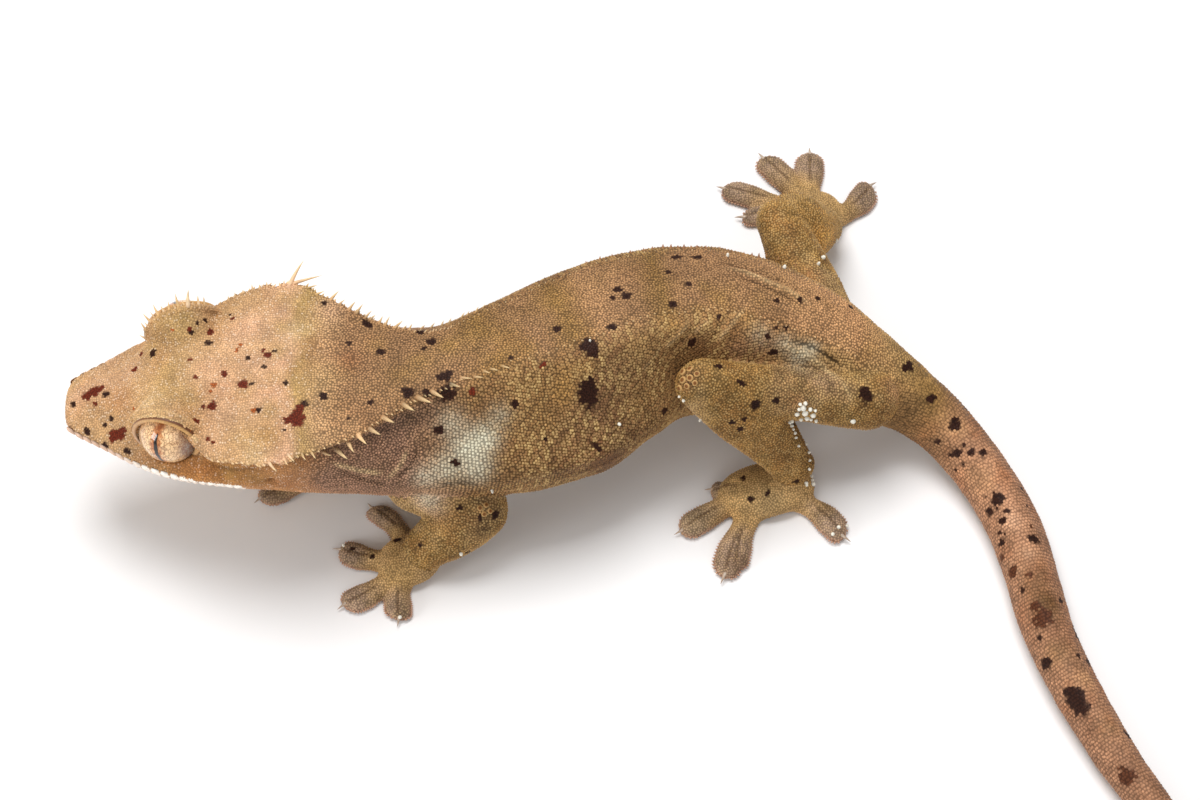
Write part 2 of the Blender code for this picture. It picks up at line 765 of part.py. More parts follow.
def limb_pieces(leg, grow=0.0):
    """The upper and the lower length of a leg. The inside of the fold is the side of the other's far end."""
    top, bend, end = Vector(leg.upper.start), Vector(leg.upper.end), Vector(leg.lower.end)
    upper = limb_segment("upper", leg.upper, end - bend, grow)
    return upper, limb_segment("lower", leg.lower, top - bend, grow)


def make_leg(name, leg):
    limb, lower = limb_pieces(leg)
    limb.name = f"{name}_leg"
    apply_boolean(limb, [lower], "UNION")
    body = body_loft("body", LEGS_MEET_FROM, LEGS_MEET_TO, 3.0, BODY_STEPS, GAP)
    apply_boolean(limb, [body], "DIFFERENCE")
    floor = floor_block()
    apply_boolean(limb, [floor], "DIFFERENCE")
    return keep_largest(limb)


def floor_block():
    """Everything below the floor."""
    bm = bmesh.new()
    size = 400 * MM
    bmesh.ops.create_cube(bm, size=size, matrix=Matrix.Translation((0, 0, -size / 2)))
    return object_from_bmesh("floor", bm)


TOE_SHARES = (0.10, 0.3, 0.48, 0.60, 0.72, 0.84, 0.94, 1.0)
TOE_WIDTHS = (1.9, 1.7, 1.45, 0.85, 1.0, 1.0, 0.78, 0.3)
TOE_HEIGHTS = (2.9, 2.5, 2.1, 1.8, 1.6, 1.45, 1.2, 0.6)
TOE_SIDES = 8
TOE_PAD_FROM = 3
TOE_SUNK = 0.08


def toe_line(leg, toe):
    """(start, end, sideways) of a toe on the floor."""
    start = Vector((*leg.palm, 0.0))
    end = Vector((toe.x, toe.y, 0.0))
    along = (end - start).normalized()
    return start, end, Vector((-along.y, along.x, 0.0))


def toe_loft(leg, toe):
    """A toe: a slim length from the palm, then a broad flat pad with a round end."""
    start, end, sideways = toe_line(leg, toe)
    length = (end - start).length
    loops = []
    for i, (share, width, height) in enumerate(zip(TOE_SHARES, TOE_WIDTHS, TOE_HEIGHTS)):
        half = width * (toe.pad if i >= TOE_PAD_FROM else 1.0)
        bow = toe.bend * length * math.sin(math.pi * share)
        centre = start.lerp(end, share) + sideways * bow
        loops.append(
            [
                centre
                + sideways * (half * math.cos(2 * math.pi * k / TOE_SIDES))
                + Vector((0, 0, height * (0.5 - TOE_SUNK + 0.5 * math.sin(2 * math.pi * k / TOE_SIDES))))
                for k in range(TOE_SIDES)
            ]
        )
    return object_from_rings("toe", loops)


def claw(leg, toe):
    """The small hooked claw that stands out past the pad."""
    start, end, _ = toe_line(leg, toe)
    along = (end - start).normalized()
    root = end - along * CLAW_BACK + Vector((0, 0, CLAW_HEIGHT))
    direction = (along - Vector((0, 0, CLAW_DROP))).normalized()
    bm = bmesh.new()
    bmesh.ops.create_cone(
        bm,
        cap_ends=True,
        segments=CLAW_SIDES,
        radius1=CLAW_RADIUS * MM,
        radius2=CLAW_POINT * MM,
        depth=CLAW_LENGTH * MM,
        matrix=Matrix.Translation((0, 0, 0.5 * CLAW_LENGTH * MM)),
    )
    turn = direction.to_track_quat("Z", "Y").to_matrix().to_4x4()
    bmesh.ops.transform(bm, matrix=Matrix.Translation(root * MM) @ turn, verts=bm.verts)
    return object_from_bmesh("claw", bm)


def make_foot(name, leg):
    long, broad, high = leg.palm_size
    turn = Matrix.Rotation(math.radians(leg.palm_turn), 3, "Z")
    foot = ball(f"{name}_foot", (*leg.palm, 0.75 * high), 1.0, PALM_FACETS, (long, broad, high), turn)
    growths = []
    for toe in leg.toes:
        growths += [toe_loft(leg, toe), claw(leg, toe)]
    apply_boolean(foot, growths, "UNION")
    apply_boolean(foot, [floor_block()], "DIFFERENCE")
    apply_boolean(foot, limb_pieces(leg, GAP), "DIFFERENCE")
    return keep_largest(foot)


def finish(obj, look, collection):
    """Gives a node its material and smooth shading, and files it."""
    material = bpy.data.materials.new(f"{obj.name}_skin")
    material.use_nodes = True
    shader = material.node_tree.nodes["Principled BSDF"]
    shader.inputs["Base Color"].default_value = (*look.colour, 1.0)
    shader.inputs["Roughness"].default_value = look.roughness
    shader.inputs["Metallic"].default_value = 0.0
    obj.data.materials.clear()
    obj.data.materials.append(material)
    obj.data.shade_smooth()
    obj.data.set_sharp_from_angle(angle=math.radians(50))
    for owner in list(obj.users_collection):
        owner.objects.unlink(obj)
    collection.objects.link(obj)
    return obj


def set_origin(nodes):
    """Moves all nodes so that the origin is the middle of the box's underside."""
    corners = np.array([v.co for node in nodes for v in node.data.vertices])
    low, high = corners.min(0), corners.max(0)
    shift = Matrix.Translation((-(low[0] + high[0]) / 2, -(low[1] + high[1]) / 2, -low[2]))
    for node in nodes:
        node.data.transform(shift)


def main():
    for obj in list(bpy.data.objects):
        bpy.data.objects.remove(obj)
    draw = random.Random(7)
    collection = bpy.data.collections.new("crested_gecko")
    bpy.context.scene.collection.children.link(collection)
    nodes = [finish(make_head(draw), SKIN_HEAD, collection)]
    lengths = (
        ("neck", HEAD_END, NECK_END, 2.0, BODY_STEPS, NECK_SPINES, SKIN_HEAD),
        ("torso", NECK_END, TORSO_END, 3.2, BODY_STEPS, TORSO_SPINES, SKIN_BODY),
        ("tail_base", TORSO_END, TAIL_BASE_END, 3.0, TAIL_STEPS, (), SKIN_TAIL),
        ("tail_middle", TAIL_BASE_END, TAIL_MID_END, 3.4, TAIL_STEPS, (), SKIN_TAIL),
        ("tail_tip", TAIL_MID_END, TAIL_END, 3.0, TAIL_STEPS, (), SKIN_TAIL),
    )
    for name, d0, d1, spacing, steps, rows, look in lengths:
        nodes.append(finish(make_body_length(name, d0, d1, spacing, steps, rows, draw), look, collection))
    for side_sign, side_name in SIDES:
        nodes.append(finish(make_eye(side_sign, side_name), EYE_FINISH, collection))
    for name, leg in LEGS.items():
        nodes.append(finish(make_leg(name, leg), SKIN_LEG, collection))
        nodes.append(finish(make_foot(name, leg), SKIN_LEG, collection))
    set_origin(nodes)


main()
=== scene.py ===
"""Looks of the crested gecko: one skin with its folds and markings, granular scales, spines, claws and eyes.

Shapes are worked out in millimetres from the distance d along the body, as the solids are, and are scaled to
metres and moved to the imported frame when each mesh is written.
"""

import math
import random
from typing import NamedTuple

import bpy
import numpy as np
from mathutils import Matrix, Vector
from mathutils.bvhtree import BVHTree
from mathutils.kdtree import KDTree

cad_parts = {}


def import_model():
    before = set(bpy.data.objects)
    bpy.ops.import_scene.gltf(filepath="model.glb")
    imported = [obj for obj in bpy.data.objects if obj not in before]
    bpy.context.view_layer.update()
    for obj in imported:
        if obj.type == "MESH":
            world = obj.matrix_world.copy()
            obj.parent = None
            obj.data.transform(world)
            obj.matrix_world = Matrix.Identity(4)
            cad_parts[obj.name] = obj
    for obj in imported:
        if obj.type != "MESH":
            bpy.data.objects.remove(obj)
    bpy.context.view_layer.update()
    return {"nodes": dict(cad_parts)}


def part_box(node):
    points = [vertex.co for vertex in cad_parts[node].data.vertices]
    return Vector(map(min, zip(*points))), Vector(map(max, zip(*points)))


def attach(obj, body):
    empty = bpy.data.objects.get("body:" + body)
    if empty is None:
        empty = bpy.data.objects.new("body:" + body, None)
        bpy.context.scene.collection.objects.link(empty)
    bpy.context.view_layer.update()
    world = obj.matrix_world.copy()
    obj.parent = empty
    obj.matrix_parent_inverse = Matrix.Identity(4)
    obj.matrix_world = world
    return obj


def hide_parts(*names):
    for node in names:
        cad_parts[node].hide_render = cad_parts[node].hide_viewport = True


MM = 0.001
LEFT = 1
RIGHT = -1
SIDES = ((LEFT, "left"), (RIGHT, "right"))
VOXEL = 0.34

TAIL_END = 219.5

EYE_D = {LEFT: 15.2, RIGHT: 16.3}
EYE_SIDE = {LEFT: 6.4, RIGHT: 8.1}
EYE_HEIGHT = {LEFT: 4.9, RIGHT: 5.3}
EYE_RADIUS = 4.25
EYE_FORWARD = math.radians(14)
EYE_UP = math.radians(21)
LID_OUT = 1.7
LID_HOOD = 0.25
LID_RADIUS = 4.2
LID_LONG = 1.04
LID_TALL = 0.96
LID_FOLD = 0.9
BROW_THICK = 0.9
NOSTRIL_D = 2.0
EAR_D = 28.4

# The photograph's camera: it looks down at the middle of the picture from this far.
CAMERA_ELEVATION = math.radians(58)
CAMERA_DISTANCE = 480.0
CAMERA_FIELD = 160.8
CAMERA_TARGET = Vector((0.0, 0.0, 15.0))
PHOTO_SIZE = (1200, 800)
PIXEL = CAMERA_FIELD / PHOTO_SIZE[0]
LOOK = Vector((0, math.cos(CAMERA_ELEVATION), -math.sin(CAMERA_ELEVATION)))


class Section(NamedTuple):
    """The body's cross section at d, as in the solids."""

    d: float
    width: float
    flank: float
    top: float
    depth: float
    crest: float
    crest_drop: float
    overhang: float
    mouth: float
    groove: float
    hollow: float


# The body's middle line and its roll, as (x, y, z, degrees).
PATH = (
    (-70.9, -2.8, 17.4, 3),
    (-56.0, -2.9, 18.3, 3),
    (-41.1, -3.2, 19.2, 3),
    (-33.2, -3.3, 19.0, 1),
    (-26.6, -2.8, 18.3, -3),
    (-19.9, -1.9, 17.5, -7),
    (-12.0, 0.7, 16.6, -11),
    (-5.4, 3.4, 15.9, -13),
    (1.0, 6.2, 15.5, -14),
    (6.8, 8.6, 15.2, -14),
    (13.6, 10.2, 14.7, -13),
    (20.3, 10.4, 14.0, -11),
    (27.2, 9.5, 12.8, -8),
    (34.0, 8.0, 10.9, -5),
    (40.5, 5.9, 8.4, -3),
    (46.0, 2.8, 5.8, 0),
    (51.0, -2.8, 3.9, 0),
    (54.8, -9.6, 3.22, 0),
    (57.4, -18.2, 3.07, 0),
    (59.2, -27.2, 2.93, 0),
    (63.0, -38.0, 2.76, 0),
    (67.3, -46.9, 2.54, 0),
    (71.5, -54.0, 2.31, 0),
    (76.0, -61.0, 2.0, 0),
    (81.8, -68.0, 1.59, 0),
    (89.0, -73.6, 1.1, 0),
    (98.0, -77.2, 0.4, 0),
)

# Cross sections along the body, each with the values of a Section.
SECTIONS = (
    (0.0, 2.2, 0.5, 1.4, 1.1, 0.9, 0.2, -0.5, 0.0, 0.05, 0.0),
    (0.5, 3.3, 0.7, 2.2, 1.7, 1.6, 0.4, -0.7, 0.0, 0.3, 0.0),
    (1.5, 4.2, 0.9, 2.8, 2.3, 2.2, 0.6, -0.8, 0.0, 0.5, 0.0),
    (3.0, 5.1, 1.1, 3.4, 2.8, 2.6, 0.9, -0.9, 0.0, 0.5, 0.0),
    (6.0, 6.8, 1.3, 4.1, 3.5, 3.5, 1.2, -1.0, 0.0, 0.5, 0.0),
    (9.0, 8.6, 1.4, 5.3, 4.2, 4.9, 1.1, -0.8, 0.0, 0.5, 0.6),
    (13.0, 10.4, 1.4, 7.9, 5.0, 7.6, 0.5, 0.1, 0.0, 0.5, 1.3),
    (17.5, 11.6, 1.6, 8.9, 5.9, 8.8, 0.7, 0.2, 0.0, 0.5, 2.2),
    (21.0, 12.1, 1.7, 8.9, 6.4, 11.8, 2.1, 0.7, -0.4, 0.5, 2.2),
    (24.0, 12.4, 1.7, 9.0, 7.0, 13.1, 1.4, 1.6, -1.0, 0.2, 1.0),
    (28.0, 12.5, 1.6, 9.2, 7.7, 13.9, 1.0, 2.4, -1.6, 0.0, 0.3),
    (30.5, 12.6, 1.4, 9.3, 8.0, 13.7, 0.9, 2.4, -2.0, 0.0, 0.0),
    (33.5, 12.5, 1.0, 9.4, 8.5, 12.5, 0.9, 1.8, -2.4, 0.0, 0.0),
    (37.0, 12.3, 0.6, 9.5, 9.0, 10.6, 1.2, 0.6, -2.8, 0.0, 0.0),
    (41.0, 12.2, 0.2, 9.7, 9.5, 8.0, 1.3, -0.3, -3.2, 0.0, 0.0),
    (46.0, 12.4, -0.2, 10.0, 10.2, 5.7, 1.2, -1.0, -3.6, 0.0, 0.0),
    (52.0, 13.1, -0.6, 10.6, 11.0, 4.9, 0.9, -1.5, -3.9, 0.0, 0.0),
    (59.0, 14.1, -1.0, 11.3, 11.7, 5.4, 0.7, -1.9, -4.2, 0.0, 0.0),
    (67.0, 14.4, -1.3, 11.9, 11.6, 6.2, 0.8, -2.1, -4.2, 0.0, 0.0),
    (75.0, 12.4, -1.3, 12.2, 9.5, 6.5, 1.0, -2.1, -3.7, 0.0, 0.0),
    (83.0, 10.9, -0.9, 12.1, 8.0, 6.4, 1.2, -1.9, -3.0, 0.0, 0.0),
    (91.0, 11.2, -0.6, 11.6, 8.6, 5.9, 1.4, -1.8, -2.8, 0.0, 0.0),
    (98.0, 10.7, -0.5, 10.5, 8.7, 5.1, 1.5, -1.5, -2.8, 0.0, 0.0),
    (105.0, 8.8, -0.4, 8.8, 7.8, 4.1, 1.3, -1.2, -2.4, 0.0, 0.0),
    (111.0, 6.5, -0.2, 6.6, 6.2, 3.1, 1.0, -0.9, -1.8, 0.0, 0.0),
    (117.0, 5.0, -0.1, 5.0, 4.8, 2.4, 0.7, -0.7, -1.4, 0.0, 0.0),
    (125.0, 4.2, 0.0, 4.0, 3.9, 2.1, 0.6, -0.6, -1.1, 0.0, 0.0),
    (145.0, 3.8, 0.0, 3.5, 3.4, 1.9, 0.5, -0.5, -1.0, 0.0, 0.0),
    (170.0, 3.3, 0.0, 3.0, 3.0, 1.6, 0.4, -0.4, -0.8, 0.0, 0.0),
    (190.0, 2.6, 0.0, 2.4, 2.4, 1.3, 0.4, -0.3, -0.6, 0.0, 0.0),
    (205.0, 1.9, 0.0, 1.7, 1.7, 0.9, 0.3, -0.2, -0.4, 0.0, 0.0),
    (210.0, 1.8, 0.0, 1.4, 1.4, 0.9, 0.2, -0.2, -0.4, 0.0, 0.0),
    (214.0, 2.1, 0.0, 1.2, 1.2, 1.0, 0.2, -0.2, -0.3, 0.0, 0.0),
    (217.5, 1.8, 0.0, 1.0, 1.0, 0.9, 0.2, -0.1, -0.3, 0.0, 0.0),
    (219.5, 0.8, 0.0, 0.6, 0.6, 0.4, 0.1, -0.1, -0.1, 0.0, 0.0),
)
CREST_STEP = 1.3
LIP = 0.85
BELLY_POWER = 2.2
FINE_STEPS = (6, 6, 4, 6, 5, 4, 4, 4, 9, 9)


class Segment(NamedTuple):
    """A length of a limb between two joints, as in the solids."""

    start: tuple
    end: tuple
    root: float
    muscle: float
    tip: float
    flat: float
    bow: float


class Toe(NamedTuple):
    x: float
    y: float
    bend: float
    pad: float


class Leg(NamedTuple):
    upper: Segment
    lower: Segment
    palm: tuple
    palm_size: tuple
    palm_turn: float
    toes: tuple


LEGS = {
    "front_left": Leg(
        Segment((-24.0, -10.2, 11.8), (-16.3, -13.5, 9.0), 4.8, 4.4, 3.9, 0.9, 0.0),
        Segment((-16.3, -13.5, 9.0), (-23.3, -16.4, 3.9), 4.1, 4.1, 3.0, 0.9, 0.0),
        (-25.6, -16.9),
        (4.4, 3.8, 2.0),
        25,
        (
            Toe(-31.2, -8.2, -0.12, 1.7),
            Toe(-35.3, -14.8, 0.06, 1.9),
            Toe(-34.4, -23.4, 0.06, 2.0),
            Toe(-26.9, -25.6, -0.08, 1.9),
            Toe(-19.8, -14.0, -0.05, 1.5),
        ),
    ),
    "front_right": Leg(
        Segment((-20.5, 5.5, 12.5), (-24.3, 10.2, 8.2), 4.8, 4.4, 3.9, 0.9, 0.0),
        Segment((-24.3, 10.2, 8.2), (-35.2, 2.4, 3.9), 4.1, 4.1, 3.0, 0.9, 0.0),
        (-38.0, -0.9),
        (4.4, 3.8, 2.0),
        40,
        (
            Toe(-46.4, -6.9, 0.08, 1.7),
            Toe(-48.4, -1.6, 0.04, 1.9),
            Toe(-47.9, 5.0, -0.04, 2.0),
            Toe(-42.4, 8.6, -0.05, 1.9),
            Toe(-34.8, 8.0, 0.05, 1.5),
        ),
    ),
    "hind_left": Leg(
        Segment((36.0, 2.0, 12.2), (13.4, -1.9, 22.2), 4.4, 3.7, 3.4, 0.9, 0.3),
        Segment((13.4, -1.9, 22.2), (26.2, -4.1, 4.9), 3.5, 4.6, 2.9, 0.8, 1.0),
        (22.8, -6.0),
        (6.6, 4.0, 2.2),
        8,
        (
            Toe(15.2, -5.4, 0.08, 1.6),
            Toe(10.9, -12.0, -0.05, 2.0),
            Toe(16.6, -19.2, -0.06, 2.1),
            Toe(18.2, -17.8, -0.08, 1.9),
            Toe(33.2, -13.0, 0.12, 2.1),
        ),
    ),
    "hind_right": Leg(
        Segment((30.8, 12.5, 12.0), (25.0, 29.4, 14.0), 5.2, 4.8, 3.5, 0.9, 0.5),
        Segment((25.0, 29.4, 14.0), (31.4, 35.4, 4.9), 3.6, 5.1, 3.1, 0.85, 0.6),
        (30.6, 38.6),
        (5.0, 4.0, 2.2),
        70,
        (
            Toe(20.2, 39.9, -0.08, 1.6),
            Toe(17.6, 45.0, -0.05, 2.0),
            Toe(23.4, 50.6, -0.05, 2.1),
            Toe(30.4, 51.4, 0.02, 2.1),
            Toe(39.2, 45.6, -0.12, 2.1),
        ),
    ),
}
TOE_SHARES = (0.10, 0.3, 0.48, 0.60, 0.72, 0.84, 0.94, 1.0)
TOE_WIDTHS = (1.9, 1.7, 1.45, 0.85, 1.0, 1.0, 0.78, 0.3)
TOE_HEIGHTS = (2.9, 2.5, 2.1, 1.8, 1.6, 1.45, 1.2, 0.6)
TOE_PAD_FROM = 3
TOE_UNDERSIDE = 0.25
TOE_RISE = 0.92
TOE_REACH = 6
CREASE_WIDTH = 0.22
WEB_SHARES = (0.12, 0.46)


def tone(red, green, blue):
    """A linear colour from the three display values 0 to 255."""
    values = np.array((red, green, blue), float) / 255
    return np.where(values <= 0.04045, values / 12.92, ((values + 0.055) / 1.055) ** 2.4)


def smooth(knots, values, at):
    """Cubic interpolation through the knots that doesn't overshoot them."""
    spans = np.diff(knots)
    slopes = np.diff(values, axis=0) / spans[:, None]
    inner = slopes[:-1] * spans[1:, None] + slopes[1:] * spans[:-1, None]
    inner = inner / (spans[:-1] + spans[1:])[:, None]
    limit = 3 * np.minimum(np.abs(slopes[:-1]), np.abs(slopes[1:]))
    turning = slopes[:-1] * slopes[1:] <= 0
    inner = np.where(turning, 0.0, np.clip(inner, -limit, limit))
    return hermite(knots, values, np.vstack([slopes[:1], inner, slopes[-1:]]), at)


def hermite(knots, values, tangents, at):
    """Cubic interpolation at each of the places at, with the given tangents."""
    at = np.clip(np.atleast_1d(np.asarray(at, float)), knots[0], knots[-1])
    i = np.minimum(np.searchsorted(knots, at, side="right") - 1, len(knots) - 2)
    span = (knots[i + 1] - knots[i])[:, None]
    t = (at - knots[i])[:, None] / span
    return (
        (2 * t**3 - 3 * t**2 + 1) * values[i]
        + (t**3 - 2 * t**2 + t) * span * tangents[i]
        + (3 * t**2 - 2 * t**3) * values[i + 1]
        + (t**3 - t**2) * span * tangents[i + 1]
    )


PATH_VALUES = np.array(PATH, float)
KNOTS = np.concatenate([[0.0], np.cumsum(np.linalg.norm(np.diff(PATH_VALUES[:, :3], axis=0), axis=1))])
PATH_TANGENTS = np.gradient(PATH_VALUES, KNOTS, axis=0)
SECTION_VALUES = np.array(SECTIONS, float)
SECTION_D = SECTION_VALUES[:, 0]


def body_frames(places):
    """Arrays of centre, tangent, left and up at the places d."""
    places = np.asarray(places, float)
    here = hermite(KNOTS, PATH_VALUES, PATH_TANGENTS, places)
    ahead = hermite(KNOTS, PATH_VALUES, PATH_TANGENTS, places + 0.05)
    behind = hermite(KNOTS, PATH_VALUES, PATH_TANGENTS, places - 0.05)
    tangent = ahead[:, :3] - behind[:, :3]
    tangent /= np.linalg.norm(tangent, axis=1)[:, None]
    side = np.cross(tangent, (0, 0, 1))
    side /= np.linalg.norm(side, axis=1)[:, None]
    up = np.cross(side, tangent)
    roll = np.radians(here[:, 3])[:, None]
    turned_side = side * np.cos(roll) + np.cross(tangent, side) * np.sin(roll)
    turned_up = up * np.cos(roll) + np.cross(tangent, up) * np.sin(roll)
    return here[:, :3], tangent, turned_side, turned_up


def body_frame(d):
    return [Vector(row[0]) for row in body_frames([d])]


def arrays_at(d):
    """The centre, tangent, left and up at d, as arrays."""
    return [np.array(v) for v in body_frame(d)]


def section_at(d):
    return Section(*smooth(SECTION_D, SECTION_VALUES, d)[0])


def belly_side(section, height):
    """Half width at height b, below the widest part of the flank."""
    drop = min(max((section.flank - height) / (section.flank + section.depth), 0.0), 1.0)
    return section.width * (1 - drop**BELLY_POWER) ** (1 / BELLY_POWER)


def profile_controls(section):
    """Control points of half a section, from the back's middle to the belly's. The crest is the third."""
    crest_b = section.top - section.crest_drop
    low = section.flank + section.depth
    lip = LIP * min(1.0, section.depth / 4)
    step = min(CREST_STEP, 0.4 * (crest_b - section.flank))
    cheek = 0.5 * (section.width + section.crest) - 0.3 * section.overhang - section.hollow
    return np.array(
        [
            (0.0, section.top),
            (0.6 * section.crest, section.top - 0.4 * section.crest_drop),
            (section.crest, crest_b),
            (section.crest - section.overhang, crest_b - step),
            (cheek, 0.5 * (crest_b + section.flank)),
            (section.width, section.flank),
            (belly_side(section, section.mouth + lip), section.mouth + lip),
            (belly_side(section, section.mouth) - section.groove, section.mouth),
            (belly_side(section, section.mouth - lip) - 0.2 * section.groove, section.mouth - lip),
            (0.72 * section.width, section.flank - low * (1 - 0.72**BELLY_POWER) ** (1 / BELLY_POWER)),
            (0.0, -section.depth),
        ]
    )


def curve_through(points, steps, on_middle):
    """Catmull-Rom samples through the points. on_middle says which ends cross the middle plane square."""
    before = points[1] * (-1, 1) if on_middle[0] else 2 * points[0] - points[1]
    after = points[-2] * (-1, 1) if on_middle[1] else 2 * points[-1] - points[-2]
    run = np.vstack([before, points, after])
    found = [points[0]]
    for i, count in enumerate(steps):
        p0, p1, p2, p3 = run[i : i + 4]
        for k in range(1, count + 1):
            t = k / count
            found.append(
                0.5
                * (
                    2 * p1
                    + (p2 - p0) * t
                    + (2 * p0 - 5 * p1 + 4 * p2 - p3) * t**2
                    + (3 * p1 - p0 - 3 * p2 + p3) * t**3
                )
            )
    return found


def half_section(section):
    controls = profile_controls(section)
    back = curve_through(controls[:3], FINE_STEPS[:2], (True, False))
    flank = curve_through(controls[2:], FINE_STEPS[2:], (False, True))
    return np.array(back + flank[1:])


def body_rings(places):
    """Rings of the body at the places d, round the left side from the back and up the right."""
    centre, _, side, up = body_frames(places)
    rings = []
    for i, d in enumerate(places):
        half = half_section(section_at(d))
        round_it = np.vstack([half, half[-2:0:-1] * (-1, 1)])
        rings.append(centre[i] + round_it[:, :1] * side[i] + round_it[:, 1:] * up[i])
    return np.array(rings)


class Shell:
    """A closed mesh in millimetres being gathered, with a place on the unwrap for each vertex."""

    def __init__(self):
        self.points = []
        self.faces = []
        self.part = []
        self.along = []
        self.unwrap = []
        self.count = 0

    def loft(self, rings, part, along, box):
        """Adds rings (n, k, 3) with fan caps. box is the unwrap's (u0, v0, u1, v1) for them."""
        n, k, _ = rings.shape
        u0, v0, u1, v1 = box
        i, j = np.meshgrid(np.arange(n - 1), np.arange(k), indexing="ij")
        a = i * k + j
        b = i * k + (j + 1) % k
        quads = np.stack([a, b, b + k, a + k], axis=-1).reshape(-1, 4) + self.count
        first, last = self.count + n * k, self.count + n * k + 1
        ends = []
        for j in range(k):
            ends.append((self.count + (j + 1) % k, self.count + j, first))
            ends.append((self.count + (n - 1) * k + j, self.count + (n - 1) * k + (j + 1) % k, last))
        self.points.append(rings.reshape(-1, 3))
        self.points.append(np.array([rings[0].mean(0), rings[-1].mean(0)]))
        self.faces += quads.tolist() + ends
        along = np.asarray(along, float)
        self.along.append(np.concatenate([np.repeat(along, k), along[[0, -1]]]))
        self.part.append(np.full(n * k + 2, part))
        u = u0 + (u1 - u0) * (along - along[0]) / (along[-1] - along[0])
        v = v0 + (v1 - v0) * np.arange(k) / k
        grid = np.stack(np.broadcast_arrays(u[:, None], v[None, :]), axis=-1).reshape(-1, 2)
        self.unwrap.append(np.vstack([grid, [(u[0], v0), (u[-1], v0)]]))
        self.count += n * k + 2

    def arrays(self):
        return (
            np.vstack(self.points),
            np.concatenate(self.part),
            np.concatenate(self.along),
            np.vstack(self.unwrap),
        )


def eye_frame(side_sign):
    """(centre of the eye, matrix whose columns run rearwards, upwards and out along the eye's axis)."""
    centre, tangent, side, up = body_frame(EYE_D[side_sign])
    point = centre + side * (EYE_SIDE[side_sign] * side_sign) + up * EYE_HEIGHT[side_sign]
    flat = side * side_sign * math.cos(EYE_FORWARD) - tangent * math.sin(EYE_FORWARD)
    axis = (flat * math.cos(EYE_UP) + up * math.sin(EYE_UP)).normalized()
    rear = (tangent - axis * axis.dot(tangent)).normalized()
    above = axis.cross(rear) * side_sign
    return point, Matrix((rear, above, axis)).transposed()


def lid_plane(height):
    return LID_OUT + LID_HOOD * height


def in_eye_frame(side_sign, local):
    """Points given in an eye's frame, in body space."""
    point, axes = eye_frame(side_sign)
    return np.asarray(local) @ np.array(axes).T + np.array(point)


def lid_rings(side_sign, radius, thick, out, around=72, across=16):
    """A closed rim of skin round the eye as rings, and how thick it is may change round it."""
    rings = []
    for i in range(around + 1):
        angle = 2 * math.pi * i / around
        rim = []
        for k in range(across):
            turn = 2 * math.pi * k / across
            r = radius(angle) + thick(angle) * math.cos(turn)
            x = r * math.sin(angle) * LID_LONG
            y = r * math.cos(angle) * LID_TALL
            rim.append((x, y, lid_plane(y) + out(angle) + thick(angle) * math.sin(turn)))
        rings.append(rim)
    return in_eye_frame(side_sign, np.array(rings).reshape(-1, 3)).reshape(around + 1, across, 3)


def brow_rings(side_sign):
    """The bulge of skin over an eyeball, flat where the lid's opening is."""
    radius = EYE_RADIUS + BROW_THICK
    down, around = 40, 56
    rings = []
    for polar in np.linspace(0.04, math.pi - 0.04, down):
        rim = []
        for k in range(around):
            turn = 2 * math.pi * k / around
            x = radius * math.sin(polar) * math.sin(turn)
            y = radius * math.sin(polar) * math.cos(turn)
            rim.append((x, y, min(radius * math.cos(polar), lid_plane(y))))
        rings.append(rim)
    return in_eye_frame(side_sign, np.array(rings).reshape(-1, 3)).reshape(down, around, 3)


def limb_rings(part, fold):
    """A tapered length of limb, round at both ends and bowed towards the inside of the fold."""
    start, end = np.array(part.start), np.array(part.end)
    length = np.linalg.norm(end - start)
    along = (end - start) / length
    wide = np.array(fold) - along * np.dot(fold, along)
    wide /= np.linalg.norm(wide)
    thin = np.cross(along, wide)
    knots = np.array((0.0, 0.35 * length, length))
    radii = np.array(((part.root,), (part.muscle,), (part.tip,)))
    places = []
    for lift in (-0.98, -0.9, -0.75, -0.58, -0.4, -0.2):
        places.append((lift * part.root, part.root * math.sqrt(1 - lift**2)))
    for share in np.linspace(0, 1, 26):
        places.append((share * length, smooth(knots, radii, share * length)[0, 0]))
    for lift in (0.2, 0.4, 0.58, 0.75, 0.9, 0.98):
        places.append((length + lift * part.tip, part.tip * math.sqrt(1 - lift**2)))
    turns = 2 * np.pi * np.arange(36) / 36
    rings = []
    for place, r in places:
        bow = part.bow * math.sin(math.pi * min(max(place / length, 0.0), 1.0))
        rings.append(
            start
            + wide * bow
            + along * place
            + np.outer(r * np.cos(turns), wide)
            + np.outer(r * part.flat * np.sin(turns), thin)
        )
    return np.array(rings), np.array([p[0] for p in places]) / length


def toe_line(leg, toe):
    start = np.array((*leg.palm, 0.0))
    end = np.array((toe.x, toe.y, 0.0))
    along = (end - start) / np.linalg.norm(end - start)
    return start, end, np.array((-along[1], along[0], 0.0))


def toe_sizes(toe, shares):
    """Half width and height of a toe at the shares of its length."""
    widths = [w * (toe.pad if i >= TOE_PAD_FROM else 1.0) for i, w in enumerate(TOE_WIDTHS)]
    return smooth(np.array(TOE_SHARES), np.stack([widths, TOE_HEIGHTS], axis=1), shares)


def all_toes():
    for leg in LEGS.values():
        for toe in leg.toes:
            yield leg, toe


